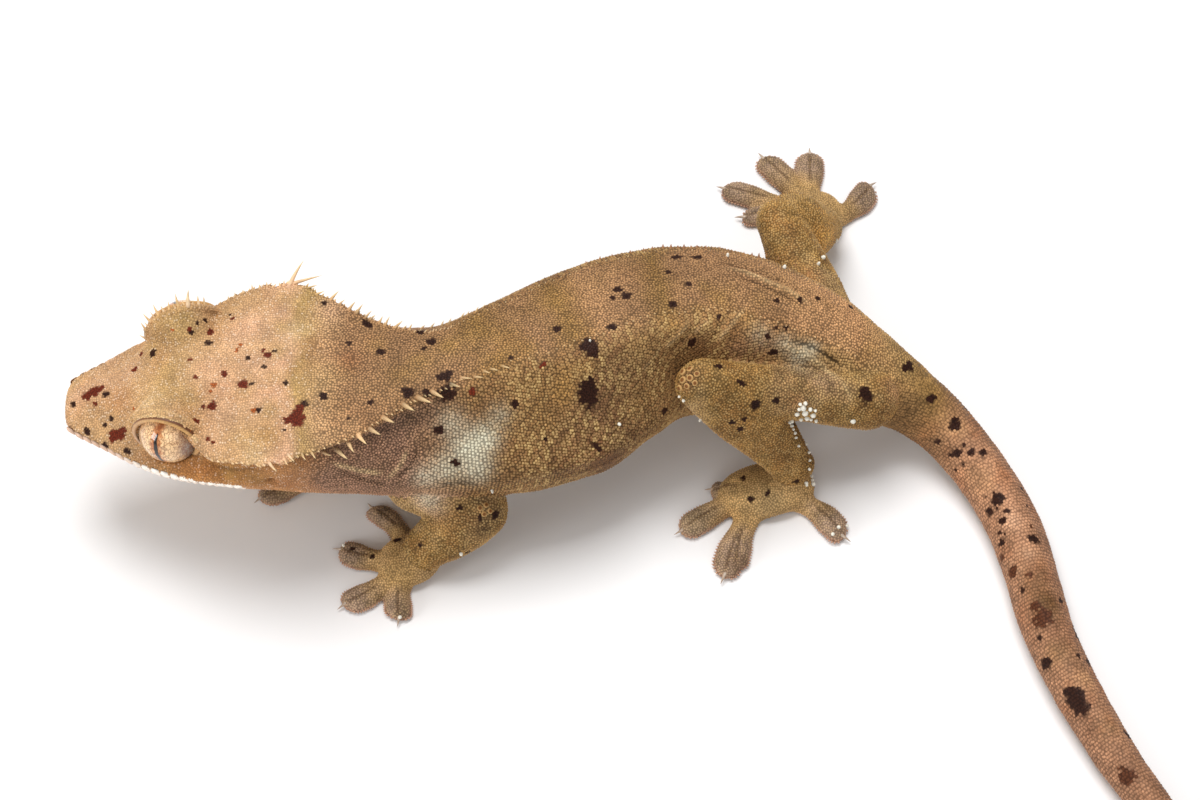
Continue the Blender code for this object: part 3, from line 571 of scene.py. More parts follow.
def toe_rings(leg, toe):
    """A slim toe from the palm with a broad flat pad, its edge thin and its back rounded."""
    start, end, sideways = toe_line(leg, toe)
    length = np.linalg.norm(end - start)
    places = np.concatenate([np.linspace(0.10, 0.94, 34), [0.965, 0.985, 0.996]])
    turns = 2 * np.pi * np.arange(28) / 28
    rings = []
    for share, (half, high) in zip(places, toe_sizes(toe, places)):
        centre = start + (end - start) * share + sideways * (toe.bend * length * math.sin(math.pi * share))
        lift = high * np.where(np.sin(turns) > 0, np.sin(turns), TOE_UNDERSIDE * np.sin(turns)) * TOE_RISE
        rings.append(centre + np.outer(half * np.cos(turns), sideways) + np.outer(lift + 0.1, (0, 0, 1)))
    return np.array(rings), places


def palm_rings(leg):
    long, broad, high = leg.palm_size
    angle = math.radians(leg.palm_turn)
    one = np.array((math.cos(angle), math.sin(angle), 0.0))
    other = np.array((-math.sin(angle), math.cos(angle), 0.0))
    centre = np.array((*leg.palm, 0.75 * high))
    turns = 2 * np.pi * np.arange(36) / 36
    rings = []
    for polar in np.linspace(0.05, math.pi - 0.05, 24):
        r = math.sin(polar)
        rings.append(
            centre
            + np.outer(r * long * np.cos(turns), one)
            + np.outer(r * broad * np.sin(turns), other)
            + np.array((0, 0, -high * math.cos(polar)))
        )
    return np.array(rings)


def web_rings(leg, one, other):
    """A little skin between the roots of two neighbouring toes."""
    first, last = toe_line(leg, one), toe_line(leg, other)
    rings = []
    for share in np.linspace(*WEB_SHARES, 8):
        ends = []
        for (start, end, sideways), toe in ((first, one), (last, other)):
            length = np.linalg.norm(end - start)
            bow = toe.bend * length * math.sin(math.pi * share)
            ends.append(start + (end - start) * share + sideways * bow)
        rim = []
        for k in range(12):
            t = k / 11
            rim.append(ends[0] * (1 - t) + ends[1] * t + np.array((0, 0, 0.15)))
        for k in range(12):
            t = 1 - k / 11
            rim.append(ends[0] * (1 - t) + ends[1] * t + np.array((0, 0, 1.0)))
        rings.append(rim)
    rings = np.array(rings)
    normal = np.cross(rings[0, 11] - rings[0, 0], rings[-1, 0] - rings[0, 0])[2]
    return rings if normal > 0 else rings[::-1]


# Numbers of the parts, used to tell what a point of the skin belongs to. A foot's is one more than its leg's.
BODY = 0
LID = 1
FIRST_LEG = 10
LEG_PARTS = {name: FIRST_LEG + 2 * i for i, name in enumerate(LEGS)}


def lid_shells(shell, side_sign, row):
    """The rim and the outer fold of a lid, and the brow over the eyeball."""

    def rim_thick(angle):
        return 0.26 + 0.14 * (0.5 + 0.5 * math.cos(angle - 0.5))

    def fold_thick(angle):
        return 0.26 + 0.2 * (0.5 + 0.5 * math.cos(angle - 0.7))

    def fold_out(angle):
        return -0.75 - 0.6 * (0.5 - 0.5 * math.cos(angle - 0.7))

    even = np.linspace(0, 1, 73)
    rim = lid_rings(side_sign, lambda a: LID_RADIUS + 0.12, rim_thick, lambda a: -0.1)
    shell.loft(rim, LID, even, (0.0, row, 0.2, row + 0.04))
    fold = lid_rings(side_sign, lambda a: LID_RADIUS + LID_FOLD, fold_thick, fold_out)
    shell.loft(fold, LID, even, (0.2, row, 0.4, row + 0.04))
    brow = brow_rings(side_sign)
    d = EYE_D[side_sign]
    shell.loft(brow, BODY, np.linspace(d + 4, d - 4, len(brow)), (0.4, row, 0.6, row + 0.04))


def leg_shells(shell, part, leg, low):
    """A leg and its foot. The unwrap's row for them starts at low."""
    high = low + 0.095
    top, bend, end = np.array(leg.upper.start), np.array(leg.upper.end), np.array(leg.lower.end)
    rings, along = limb_rings(leg.upper, end - bend)
    shell.loft(rings, part, along, (0.0, low, 0.2, high))
    rings, along = limb_rings(leg.lower, top - bend)
    shell.loft(rings, part, 1 + along, (0.2, low, 0.4, high))
    palm = palm_rings(leg)
    shell.loft(palm, part + 1, np.linspace(0, 0.1, len(palm)), (0.4, low, 0.48, high))
    for k, toe in enumerate(leg.toes):
        rings, along = toe_rings(leg, toe)
        shell.loft(rings, part + 1, along, (0.5 + 0.1 * k, low, 0.59 + 0.1 * k, high))
    for one, other in zip(leg.toes, leg.toes[1:]):
        rings = web_rings(leg, one, other)
        shell.loft(rings, part + 1, np.linspace(*WEB_SHARES, len(rings)), (0.48, low, 0.49, high))


def gather_shell():
    shell = Shell()
    head, rest = np.arange(1.5, 45, 0.5), np.arange(45, TAIL_END, 0.7)
    places = np.concatenate([[0.0, 0.2, 0.5, 1.0], head, rest, [TAIL_END]])
    shell.loft(body_rings(places), BODY, places, (0.0, 0.5, 1.0, 1.0))
    for side_sign, _ in SIDES:
        lid_shells(shell, side_sign, 0.0 if side_sign == LEFT else 0.05)
    for i, (name, leg) in enumerate(LEGS.items()):
        leg_shells(shell, LEG_PARTS[name], leg, 0.1 + 0.1 * i)
    return shell


def write_mesh(name, points, faces):
    """A mesh in millimetres. faces is a list, or an array whose rows are faces of equal size."""
    mesh = bpy.data.meshes.new(name)
    if isinstance(faces, np.ndarray):
        n, k = faces.shape
        mesh.vertices.add(len(points))
        mesh.vertices.foreach_set("co", np.asarray(points, np.float32).ravel())
        mesh.loops.add(n * k)
        mesh.loops.foreach_set("vertex_index", faces.astype(np.int32).ravel())
        mesh.polygons.add(n)
        mesh.polygons.foreach_set("loop_start", np.arange(0, n * k, k, dtype=np.int32))
        mesh.update(calc_edges=True)
    else:
        mesh.from_pydata(np.asarray(points).tolist(), [], faces)
    obj = bpy.data.objects.new(name, mesh)
    bpy.context.scene.collection.objects.link(obj)
    return obj


def evaluated_mesh(obj):
    graph = bpy.context.evaluated_depsgraph_get()
    return bpy.data.meshes.new_from_object(obj.evaluated_get(graph))


def read(items, name, width, kind):
    """A property of all the items of a mesh, as rows of the given width."""
    values = np.empty(len(items) * width, kind)
    items.foreach_get(name, values)
    return values.reshape(-1, width)


def mesh_points(mesh):
    return read(mesh.vertices, "co", 3, np.float32).astype(float)


def mesh_normals(mesh):
    return read(mesh.vertex_normals, "vector", 3, np.float32).astype(float)


def mesh_edges(mesh):
    return read(mesh.edges, "vertices", 2, np.int32)


def mesh_corners(mesh):
    """The four corners of each face of a mesh of quads."""
    return read(mesh.loops, "vertex_index", 1, np.int32).reshape(-1, 4)


def relax(points, edges, rounds, share):
    """Moves each point towards the mean of its neighbours. share may differ from point to point."""
    count = np.bincount(edges.ravel(), minlength=len(points))[:, None]
    for _ in range(rounds):
        total = np.zeros_like(points)
        for axis in range(3):
            total[:, axis] = np.bincount(edges[:, 0], points[edges[:, 1], axis], len(points))
            total[:, axis] += np.bincount(edges[:, 1], points[edges[:, 0], axis], len(points))
        points = points + (total / np.maximum(count, 1) - points) * share
    return points


def lattice(cell, seed):
    """A steady pseudo-random value from 0 to 1 for each whole-number cell."""
    mixed = cell[:, 0] * 73856093 ^ cell[:, 1] * 19349663 ^ cell[:, 2] * 83492791 ^ (seed * 2654435761)
    mixed = mixed & 0xFFFFFFFF
    mixed = (mixed ^ (mixed >> 15)) * 2246822519 & 0xFFFFFFFF
    mixed = (mixed ^ (mixed >> 13)) * 3266489917 & 0xFFFFFFFF
    return ((mixed ^ (mixed >> 16)) & 0xFFFFFF) / 0xFFFFFF


def noise(points, size, seed):
    """Smooth value noise from -1 to 1 with cells of the given size."""
    scaled = np.asarray(points) / size
    cell = np.floor(scaled).astype(np.int64)
    f = scaled - cell
    f = f * f * (3 - 2 * f)
    total = np.zeros(len(scaled))
    for corner in range(8):
        step = np.array((corner & 1, corner >> 1 & 1, corner >> 2 & 1))
        weight = np.prod(np.where(step, f, 1 - f), axis=1)
        total += weight * lattice(cell + step, seed)
    return 2 * total - 1


def step_up(value, low, high):
    """Smooth 0 to 1 as value goes from low to high."""
    t = np.clip((value - low) / (high - low), 0, 1)
    return t * t * (3 - 2 * t)


class Photo:
    """Where the photograph's pixels lie on the skin."""

    def __init__(self, tree):
        self.tree = tree
        self.place = CAMERA_TARGET - LOOK * CAMERA_DISTANCE
        self.right = Vector((1, 0, 0))
        self.up = self.right.cross(LOOK)

    def ray(self, px, py):
        wide, high = PHOTO_SIZE
        return (
            LOOK * CAMERA_DISTANCE
            + self.right * ((px - wide / 2) * PIXEL)
            + self.up * ((high / 2 - py) * PIXEL)
        ).normalized()

    def on_skin(self, px, py):
        """The point of the skin seen at a pixel, or None."""
        found = self.tree.ray_cast(self.place, self.ray(px, py))[0]
        return None if found is None else np.array(found)

    def on_skin_near(self, px, py, towards_x, towards_y):
        """The point of the skin at a pixel, or at the first one towards another pixel that meets the skin."""
        for share in np.linspace(0, 1, 25):
            found = self.on_skin(px + (towards_x - px) * share, py + (towards_y - py) * share)
            if found is not None:
                return found
        return None

    def on_plane(self, px, py, point, normal):
        """Where a pixel's sight line meets the plane through a point."""
        ray = self.ray(px, py)
        share = (Vector(point) - self.place).dot(normal) / ray.dot(normal)
        return np.array(self.place + ray * share)


class Fold(NamedTuple):
    """A fold of the skin along pixels of the photograph. It is a crease where its height is negative."""

    pixels: tuple
    width: float
    height: float


FOLDS = (
    Fold(((721, 268), (744, 272), (759, 278), (771, 284), (786, 290), (799, 298), (812, 306)), 0.38, 0.34),
    Fold(((720, 264), (744, 268), (762, 273), (776, 279), (790, 284), (804, 295)), 0.34, -0.34),
    Fold(((738, 276), (758, 283), (772, 290), (786, 296), (800, 304)), 0.34, -0.34),
    Fold(((663, 349), (672, 341), (682, 331), (690, 322)), 0.34, 0.2),
    Fold(((669, 353), (680, 342), (697, 326)), 0.34, -0.14),
    Fold(((693, 334), (703, 325), (712, 319)), 0.32, 0.15),
    Fold(((717, 343), (724, 333), (733, 323), (746, 306)), 0.34, 0.18),
    Fold(((710, 340), (718, 328), (727, 316)), 0.34, -0.12),
    Fold(((640, 372), (652, 360), (662, 344)), 0.3, 0.08),
    Fold(((790, 340), (812, 347), (834, 360), (852, 376)), 0.45, -0.28),
    Fold(((780, 345), (800, 352), (822, 366), (842, 384)), 0.45, 0.2),
    Fold(((832, 372), (846, 388), (852, 404)), 0.35, 0.16),
    Fold(((815, 362), (830, 380), (836, 398)), 0.35, -0.15),
    Fold(((338, 470), (362, 480), (388, 486)), 0.5, -0.25),
    Fold(((330, 462), (358, 470), (385, 474)), 0.5, 0.2),
    Fold(((398, 478), (412, 466), (420, 450)), 0.4, -0.22),
    Fold(((386, 480), (400, 466), (408, 448)), 0.4, 0.16),
    Fold(((440, 486), (460, 482), (482, 486)), 0.45, -0.25),
    Fold(((205, 462), (222, 468), (240, 470), (262, 468)), 0.4, -0.18),
    # The brows, each with a fine crease inside a thin edge.
    Fold(((150, 348), (154, 333), (163, 321), (175, 312), (189, 307), (204, 307)), 0.9, 0.34),
    Fold(((156, 348), (160, 336), (168, 326), (179, 318), (191, 313), (206, 312)), 0.22, 0.06),
    Fold(((159, 352), (164, 340), (172, 331), (183, 323), (194, 318)), 0.2, -0.05),
    Fold(
        (
            (132, 424), (140, 418), (151, 416), (165, 418), (179, 423), (190, 431), (197, 442), (202, 455),
            (200, 465),
        ),
        0.3,
        0.3,
    ),
    Fold(((141, 424), (151, 420), (164, 422), (177, 427), (187, 435), (194, 446), (197, 458)), 0.26, -0.26),
    Fold(((134, 414), (150, 410), (168, 412), (184, 418), (196, 428)), 0.3, 0.1),
)


def segment_distance(points, one, other):
    """(distance of each point to a segment, share along it)."""
    span = other - one
    t = np.clip((points - one) @ span / (span @ span), 0, 1)
    return np.linalg.norm(points - one - t[:, None] * span, axis=1), t


def polyline_distance(points, corners):
    best = np.full(len(points), 1e9)
    where = np.zeros(len(points))
    for i, (one, other) in enumerate(zip(corners, corners[1:])):
        found, t = segment_distance(points, one, other)
        nearer = found < best
        best[nearer] = found[nearer]
        where[nearer] = (i + t[nearer]) / (len(corners) - 1)
    return best, where


def fold_paths(photo):
    """The folds as (corners on the skin, width, height)."""
    paths = []
    for fold in FOLDS:
        corners = [photo.on_skin(*p) for p in fold.pixels]
        corners = [c for c in corners if c is not None]
        if len(corners) > 1:
            paths.append((corners, fold.width, fold.height))
    return paths


def fold_shading_and_relief(points, paths):
    """How strongly each fold's painted light (a ridge, positive) or painted shade (a crease, negative) shows
    at each point, up to 1 with the sign of its height, and its relief.
    """
    shares = np.zeros(len(points))
    relief = np.zeros(len(points))
    for corners, width, height in paths:
        centre = np.mean(corners, axis=0)
        reach = max(np.linalg.norm(c - centre) for c in corners) + 4 * width
        near = np.linalg.norm(points - centre, axis=1) < reach
        distance, where = polyline_distance(points[near], corners)
        taper = np.clip(5 * np.minimum(where, 1 - where) + 0.15, 0, 1)
        bump = taper * np.exp(-((distance / width) ** 2))
        relief[near] += height * bump
        shares[near] += np.sign(height) * min(abs(height) / 0.3, 1.0) * bump**2 * (width < 0.8)
    return np.clip(shares, -1, 1), relief


FIELD_STEP = 0.2


class Field:
    """What each point of the skin belongs to, worked out from the shell that the skin was made from."""

    def __init__(self, shell):
        self.points, self.part_of, self.along_of, self.unwrap_of = shell.arrays()
        self.tree = KDTree(len(self.points))
        for i, p in enumerate(self.points):
            self.tree.insert(p, i)
        self.tree.balance()
        self.grid = np.arange(0, TAIL_END + FIELD_STEP, FIELD_STEP)
        self.centre, self.tangent, self.side, self.up = body_frames(self.grid)
        self.sections = smooth(SECTION_D, SECTION_VALUES, self.grid)

    def describe(self, points):
        """Part, distance along it, place on the unwrap, and for the body its coordinates in the section."""
        find = self.tree.find
        index = np.fromiter((find(p)[1] for p in points), np.int64, len(points))
        along = self.along_of[index]
        part = self.part_of[index]
        slot = np.clip(np.round(along / FIELD_STEP).astype(int), 0, len(self.grid) - 1)
        offset = points - self.centre[slot]
        section = Section(*self.sections[slot].T)
        out = np.einsum("ij,ij->i", offset, self.side[slot])
        high = np.einsum("ij,ij->i", offset, self.up[slot])
        return {
            "points": points,
            "part": part,
            "along": along,
            "unwrap": self.unwrap_of[index],
            "out": out,
            "high": high,
            "crest": section.crest,
            "crest_high": section.top - section.crest_drop,
            "flank": section.flank,
            "width": section.width,
            "depth": section.depth,
            "mouth": section.mouth,
        }


# The skin's colours. LEVEL allows for the light, so that they are written as they look in the photograph.
LEVEL = np.array((0.89, 0.90, 0.81))
TAN = tone(203, 160, 120) * LEVEL
PINK = tone(224, 176, 148) * LEVEL
CREAM = tone(238, 206, 160) * LEVEL
OLIVE = tone(184, 148, 100) * LEVEL
MOSS = tone(148, 112, 68) * LEVEL
ROSE = tone(178, 134, 98) * LEVEL
RUST = tone(150, 98, 66) * LEVEL
BROWN = tone(136, 100, 66) * LEVEL
UMBER = tone(104, 74, 52) * LEVEL
PLUM = tone(146, 110, 92) * LEVEL
GOLD = tone(166, 126, 76) * LEVEL
STRAW = tone(210, 176, 124) * LEVEL
GREY_PINK = tone(176, 146, 126) * LEVEL
LEG_GOLD = tone(178, 140, 86) * LEVEL
LEG_BROWN = tone(146, 108, 64) * LEVEL
TAIL_PINK = tone(200, 146, 116) * LEVEL
SHEEN = tone(255, 250, 232) * LEVEL
LIP_PINK = tone(228, 188, 168) * LEVEL
LIP_WHITE = tone(250, 242, 230) * 0.92
BELLY = tone(190, 160, 130) * LEVEL
THROAT = tone(214, 182, 152) * LEVEL
SOLE = tone(200, 168, 150) * LEVEL
INK = tone(48, 24, 14)
RED_MARK = tone(100, 36, 16)
ORANGE_MARK = tone(160, 84, 36)
SOFT_BROWN = tone(86, 48, 28)
WHITE_MARK = tone(246, 242, 228)

# The back's colour along d, and the flank's, as (d, colour).
BACK_BANDS = (
    (0.0, TAN),
    (26.0, TAN),
    (29.5, PINK),
    (31.5, OLIVE),
    (34.0, TAN * 0.92),
    (37.5, ROSE * 0.9),
    (44.0, ROSE * 0.8),
    (50.0, ROSE * 0.8),
    (56.0, GOLD * 0.85),
    (62.0, ROSE * 0.82),
    (67.0, GOLD * 0.85),
    (72.0, ROSE * 0.95),
    (77.0, ROSE * 0.85),
    (81.0, MOSS * 0.9),
    (85.0, ROSE * 0.82),
    (92.0, ROSE * 0.9),
    (100.0, ROSE * 1.25),
    (106.0, ROSE * 1.3),
    (113.0, OLIVE * 0.95),
    (119.0, MOSS * 1.2),
    (126.0, TAIL_PINK * 0.72),
    (134.0, TAIL_PINK * 0.95),
    (146.0, TAIL_PINK * 0.88),
    (153.0, BROWN * 0.75),
    (160.0, TAIL_PINK * 0.68),
    (172.0, TAIL_PINK * 0.66),
    (220.0, TAIL_PINK * 0.7),
)
FLANK_BANDS = (
    (0.0, TAN),
    (10.0, TAN * 0.95),
    (17.0, tone(196, 138, 86) * LEVEL),
    (24.0, tone(188, 130, 82) * LEVEL),
    (31.0, tone(190, 136, 96) * LEVEL),
    (36.0, PLUM * 1.2),
    (44.0, PLUM * 1.1),
    (52.0, BROWN * 1.05),
    (60.0, BROWN * 0.95),
    (68.0, UMBER * 1.25),
    (76.0, BROWN * 0.95),
    (84.0, BROWN),
    (96.0, BROWN * 1.1),
    (110.0, OLIVE * 0.9),
    (120.0, BROWN),
    (132.0, TAIL_PINK * 0.72),
    (160.0, TAIL_PINK * 0.66),
    (220.0, TAIL_PINK * 0.66),
)


# Soft patches of colour in the photograph, as (x, y, radius, colour, share), the first three in its pixels.
CLOUDS = (
    # The far brow, the top of the head and the crown.
    (165, 330, 20, OLIVE, 0.7), (152, 350, 12, OLIVE, 0.45), (188, 318, 12, OLIVE * 0.95, 0.5),
    (168, 386, 20, OLIVE, 0.6), (192, 396, 16, OLIVE, 0.5), (178, 366, 16, OLIVE, 0.4),
    (96, 385, 22, PINK * 0.9, 0.5), (130, 372, 18, PINK * 0.9, 0.5), (120, 400, 16, RUST * 1.5, 0.35),
    (235, 340, 20, PINK, 0.5), (252, 362, 16, PINK, 0.5), (225, 412, 22, PINK, 0.5),
    (262, 402, 14, PINK, 0.4), (250, 325, 18, PINK * 1.05, 0.7), (215, 440, 14, PINK, 0.4),
    (284, 300, 12, OLIVE, 0.6), (282, 325, 11, OLIVE, 0.6), (278, 350, 12, OLIVE, 0.5),
    (274, 378, 12, OLIVE, 0.4), (270, 410, 14, OLIVE, 0.65), (270, 436, 16, GOLD * 1.3, 0.7),
    (300, 330, 14, CREAM * 0.9, 0.4), (240, 392, 10, OLIVE * 1.05, 0.35), (255, 455, 12, CREAM, 0.4),
    (150, 400, 18, CREAM, 0.35), (205, 370, 22, PINK * 1.05, 0.5), (225, 385, 18, PINK, 0.45),
    (110, 360, 16, PINK, 0.45), (75, 400, 14, PINK * 0.9, 0.5), (140, 340, 12, PINK * 0.85, 0.4),
    (228, 470, 14, GOLD * 1.3, 0.5), (255, 478, 16, GOLD * 1.25, 0.5), (285, 484, 14, RUST * 1.2, 0.4),
    # The neck.
    (318, 350, 16, ROSE, 0.6), (350, 360, 15, RUST * 1.1, 0.55), (346, 385, 13, ROSE * 0.9, 0.5),
    (330, 310, 14, PINK * 0.95, 0.6), (322, 425, 14, TAN, 0.5), (352, 430, 12, TAN, 0.45),
    (372, 395, 12, ROSE * 1.15, 0.4), (376, 345, 12, GOLD * 1.2, 0.4),
    # The band along the back.
    (400, 372, 14, GOLD, 0.5), (420, 360, 12, MOSS * 1.1, 0.5), (448, 345, 12, GOLD, 0.6),
    (470, 362, 10, ROSE * 1.15, 0.5), (470, 331, 12, MOSS * 1.1, 0.6), (490, 346, 11, ROSE, 0.5),
    (508, 334, 9, MOSS, 0.5), (524, 348, 10, GOLD, 0.6), (540, 330, 13, ROSE * 0.95, 0.7),
    (548, 316, 12, ROSE, 0.6), (520, 312, 10, MOSS, 0.5), (560, 300, 12, GOLD, 0.5),
    (585, 330, 10, GOLD, 0.5), (598, 302, 16, ROSE * 1.15, 0.7), (618, 284, 14, ROSE * 1.15, 0.7),
    (600, 322, 14, ROSE * 1.1, 0.6), (650, 276, 9, MOSS, 0.7), (652, 296, 10, MOSS, 0.7),
    (660, 312, 10, MOSS, 0.6), (676, 268, 9, ROSE, 0.6), (682, 296, 11, ROSE * 1.1, 0.7),
    (672, 325, 10, GOLD, 0.5), (706, 288, 9, MOSS, 0.7), (698, 308, 9, MOSS, 0.6),
    (700, 262, 14, ROSE, 0.6), (732, 284, 13, ROSE * 0.92, 0.6), (724, 306, 12, GOLD, 0.4),
    (760, 300, 12, MOSS, 0.6), (748, 318, 10, GOLD, 0.5), (780, 316, 12, BROWN, 0.5),
    (794, 279, 10, ROSE * 1.15, 0.6), (770, 266, 9, ROSE, 0.5), (826, 308, 14, ROSE * 1.05, 0.6),
    (845, 335, 14, ROSE, 0.5), (868, 352, 12, GOLD, 0.5), (900, 388, 16, MOSS, 0.5),
    # The flank.
    (345, 460, 16, PLUM, 0.6), (372, 462, 12, PLUM * 0.85, 0.5), (568, 458, 18, RUST, 0.35),
    (600, 450, 16, RUST * 0.9, 0.35), (505, 452, 12, RUST * 0.9, 0.3), (566, 372, 14, GOLD, 0.5),
    (590, 366, 12, GOLD, 0.5), (640, 400, 16, MOSS, 0.4), (618, 446, 14, UMBER, 0.5),
    (700, 348, 12, UMBER, 0.5), (740, 350, 12, PLUM, 0.4), (762, 345, 12, PLUM, 0.5),
    # The legs.
    (800, 372, 18, BROWN, 0.5), (830, 385, 16, ROSE, 0.4), (860, 400, 14, BROWN, 0.4),
    (740, 380, 12, GOLD * 1.15, 0.5), (722, 395, 12, MOSS, 0.5), (760, 425, 14, GOLD, 0.4),
    (785, 440, 12, MOSS * 1.2, 0.4), (796, 402, 10, ORANGE_MARK, 0.35), (770, 485, 12, GOLD * 1.2, 0.4),
    (430, 500, 20, GREY_PINK * 1.3, 0.9), (455, 520, 10, GOLD, 0.5), (478, 525, 10, UMBER, 0.5),
    # The far leg, the forearm, the shin, the flank, the rump and the feet once more, over the clouds above.
    (825, 245, 24, tone(226, 170, 92), 0.8), (800, 210, 24, GOLD * 1.7, 0.5),
    (812, 275, 14, RUST * 1.6, 0.4), (862, 195, 16, GREY_PINK * 0.55, 0.8),
    (475, 535, 22, BROWN * 0.85, 0.6), (455, 560, 18, RUST * 0.9, 0.5), (430, 545, 14, MOSS, 0.4),
    (795, 470, 18, GOLD * 1.6, 0.6), (770, 500, 20, CREAM * 0.62, 0.5), (745, 490, 20, OLIVE * 1.1, 0.5),
    (720, 500, 14, OLIVE * 1.1, 0.5), (560, 390, 20, GOLD * 1.25, 0.5), (540, 410, 14, GOLD, 0.4),
    (640, 350, 14, OLIVE, 0.5), (895, 395, 18, ROSE * 1.5, 0.6), (840, 330, 18, ROSE * 1.45, 0.6),
    (750, 385, 20, GOLD, 0.35), (690, 380, 12, UMBER, 0.8), (560, 472, 20, UMBER * 0.9, 0.5),
    (480, 520, 18, UMBER, 0.7), (975, 470, 14, ROSE * 0.95, 0.6), (1060, 650, 16, ROSE * 0.9, 0.5),
    (720, 295, 16, GOLD * 0.95, 0.5), (780, 370, 18, BROWN, 0.4), (738, 562, 14, UMBER * 1.1, 0.6),
    (695, 520, 16, CREAM * 0.6, 0.5), (400, 572, 20, LEG_GOLD * 0.75, 0.5),
    (765, 430, 20, GOLD * 1.4, 0.55), (820, 378, 18, GREY_PINK * 0.85, 0.5),
    # The tail.
    (925, 385, 13, MOSS * 1.1, 0.5), (958, 430, 14, ROSE * 1.15, 0.6), (985, 480, 14, ROSE * 1.2, 0.5),
    (1012, 520, 12, PINK * 0.8, 0.5), (1026, 560, 12, PINK * 0.75, 0.5), (1043, 612, 11, BROWN, 0.5),
    (1058, 650, 11, BROWN, 0.5), (1085, 680, 12, ROSE * 1.3, 0.5), (1108, 728, 12, ROSE, 0.5),
    (1128, 776, 9, SOFT_BROWN, 0.6), (1043, 618, 8, SOFT_BROWN, 0.6),
)
# Where light catches the scales' tips, written in the same way.
SHEENS = (
    (468, 448, 15, SHEEN, 0.95), (484, 438, 14, SHEEN, 0.9), (452, 424, 14, SHEEN * 0.85, 0.5),
    (476, 468, 15, SHEEN, 0.7), (446, 468, 15, SHEEN, 0.6), (425, 478, 12, SHEEN * 0.9, 0.5),
    (428, 498, 12, SHEEN * 0.9, 0.55), (500, 415, 12, SHEEN * 0.85, 0.35), (800, 356, 12, SHEEN, 0.5),
    (784, 344, 10, SHEEN * 0.8, 0.4), (760, 334, 12, SHEEN * 0.8, 0.25), (812, 348, 8, SHEEN, 0.4),
)


class Mark(NamedTuple):
    """A spot in the photograph: its pixel and radius there, how much longer it is than wide, and its turn."""

    x: float
    y: float
    radius: float
    long: float = 1.0
    degrees: float = 0.0


# Each row has the values of a Mark.
DARK_SPOTS = (
    (588, 394, 8.5, 1.45, 90), (589, 346, 7), (594, 352, 4), (618, 290, 3.5), (626, 296, 4.2),
    (612, 298, 2), (556, 329, 3.2), (612, 327, 2.8, 1.5), (515, 404, 3.8), (447, 393, 6.8), (446, 376, 5.2),
    (439, 377, 3), (511, 358, 2.4), (678, 257, 3, 1.6), (697, 257, 2.8, 1.7), (668, 272, 2.6),
    (689, 285, 2.6), (673, 304, 3.6), (692, 343, 3.2, 1.5, 90), (597, 447, 2.4, 2.2, 55), (545, 439, 2.6),
    (455, 463, 2.6, 2, 20), (439, 430, 4), (665, 411, 2.6), (719, 317, 2.4), (777, 301, 3), (800, 300, 2.8),
    (818, 298, 2.4), (776, 328, 2), (786, 328, 2), (768, 336, 2.2), (773, 352, 3, 1.5, 40),
    (866, 395, 5.6, 1.3, 50), (885, 328, 2.8), (851, 307, 2.4), (719, 366, 2.6, 1.6),
    (742, 383, 2.4, 2.4, 25), (756, 405, 5.2), (776, 401, 2.6, 1.7), (740, 429, 3), (745, 419, 2.2),
    (732, 422, 2.2), (793, 423, 2.6, 2, 30), (747, 457, 3, 1.5), (743, 478, 2.4), (768, 493, 2.2),
    (751, 499, 3), (797, 481, 3.2), (813, 474, 3.2), (367, 324, 4.4), (381, 352, 4), (349, 343, 2.4),
    (431, 342, 4.6), (424, 348, 2.4), (420, 332, 3, 1.4, 60), (405, 325, 2.6), (408, 393, 4.8),
    (427, 393, 3.6), (323, 396, 3.6), (369, 403, 1.8), (372, 401, 1.6), (304, 402, 1.8), (306, 405, 1.8),
    (286, 383, 2), (258, 410, 2.2), (324, 303, 2.2), (348, 418, 1.5), (910, 366, 4.6), (905, 368, 3),
    (932, 399, 3.6, 1.3), (955, 424, 5.4), (938, 442, 2.6), (957, 453, 4.2), (952, 455, 3), (971, 453, 3.6),
    (984, 453, 3.8), (963, 464, 2), (963, 445, 2), (956, 470, 1.6), (998, 498, 6), (989, 511, 4),
    (1002, 520, 4), (1007, 511, 2.6), (1002, 543, 3.6), (986, 497, 1.8), (1034, 539, 4.8), (1022, 489, 2.4),
    (1022, 590, 2.6), (1061, 601, 3.2), (1040, 638, 2.6), (1080, 642, 3.4), (1078, 655, 2.6),
    (1046, 663, 5), (1076, 700, 9.5, 1.25, 60), (1068, 692, 4), (1122, 720, 3.4, 1.5, 50), (1039, 613, 1.8),
    (997, 508, 1.8), (1005, 534, 1.5), (1000, 533, 1.5), (1027, 506, 1.4), (1128, 735, 3.4, 1.5, 50),
    (1145, 759, 6, 1.2, 50), (1154, 771, 3), (495, 515, 3.4), (480, 517, 2.4, 1.6, 80), (468, 552, 2.2),
    (410, 521, 2.8, 1.4, 20), (396, 540, 3.4, 1.3), (372, 556, 2.2), (460, 507, 2.4), (420, 545, 2),
    (352, 548, 1.8), (106, 394, 2.6, 1.5, 0), (73, 404, 2.8), (111, 419, 2.4), (106, 425, 2),
    (87, 431, 2.4, 1.5, 60), (106, 446, 2.8, 1.6, 25), (126, 451, 2.6, 1.5, 20), (153, 353, 2.8, 1.3, 20),
    (197, 323, 2), (205, 320, 1.8), (230, 315, 1.8), (248, 358, 2.4), (209, 343, 2.4, 1.5), (192, 332, 2),
    (275, 351, 1.5), (264, 367, 2), (252, 383, 1.8, 1.5), (284, 430, 1.6),
)
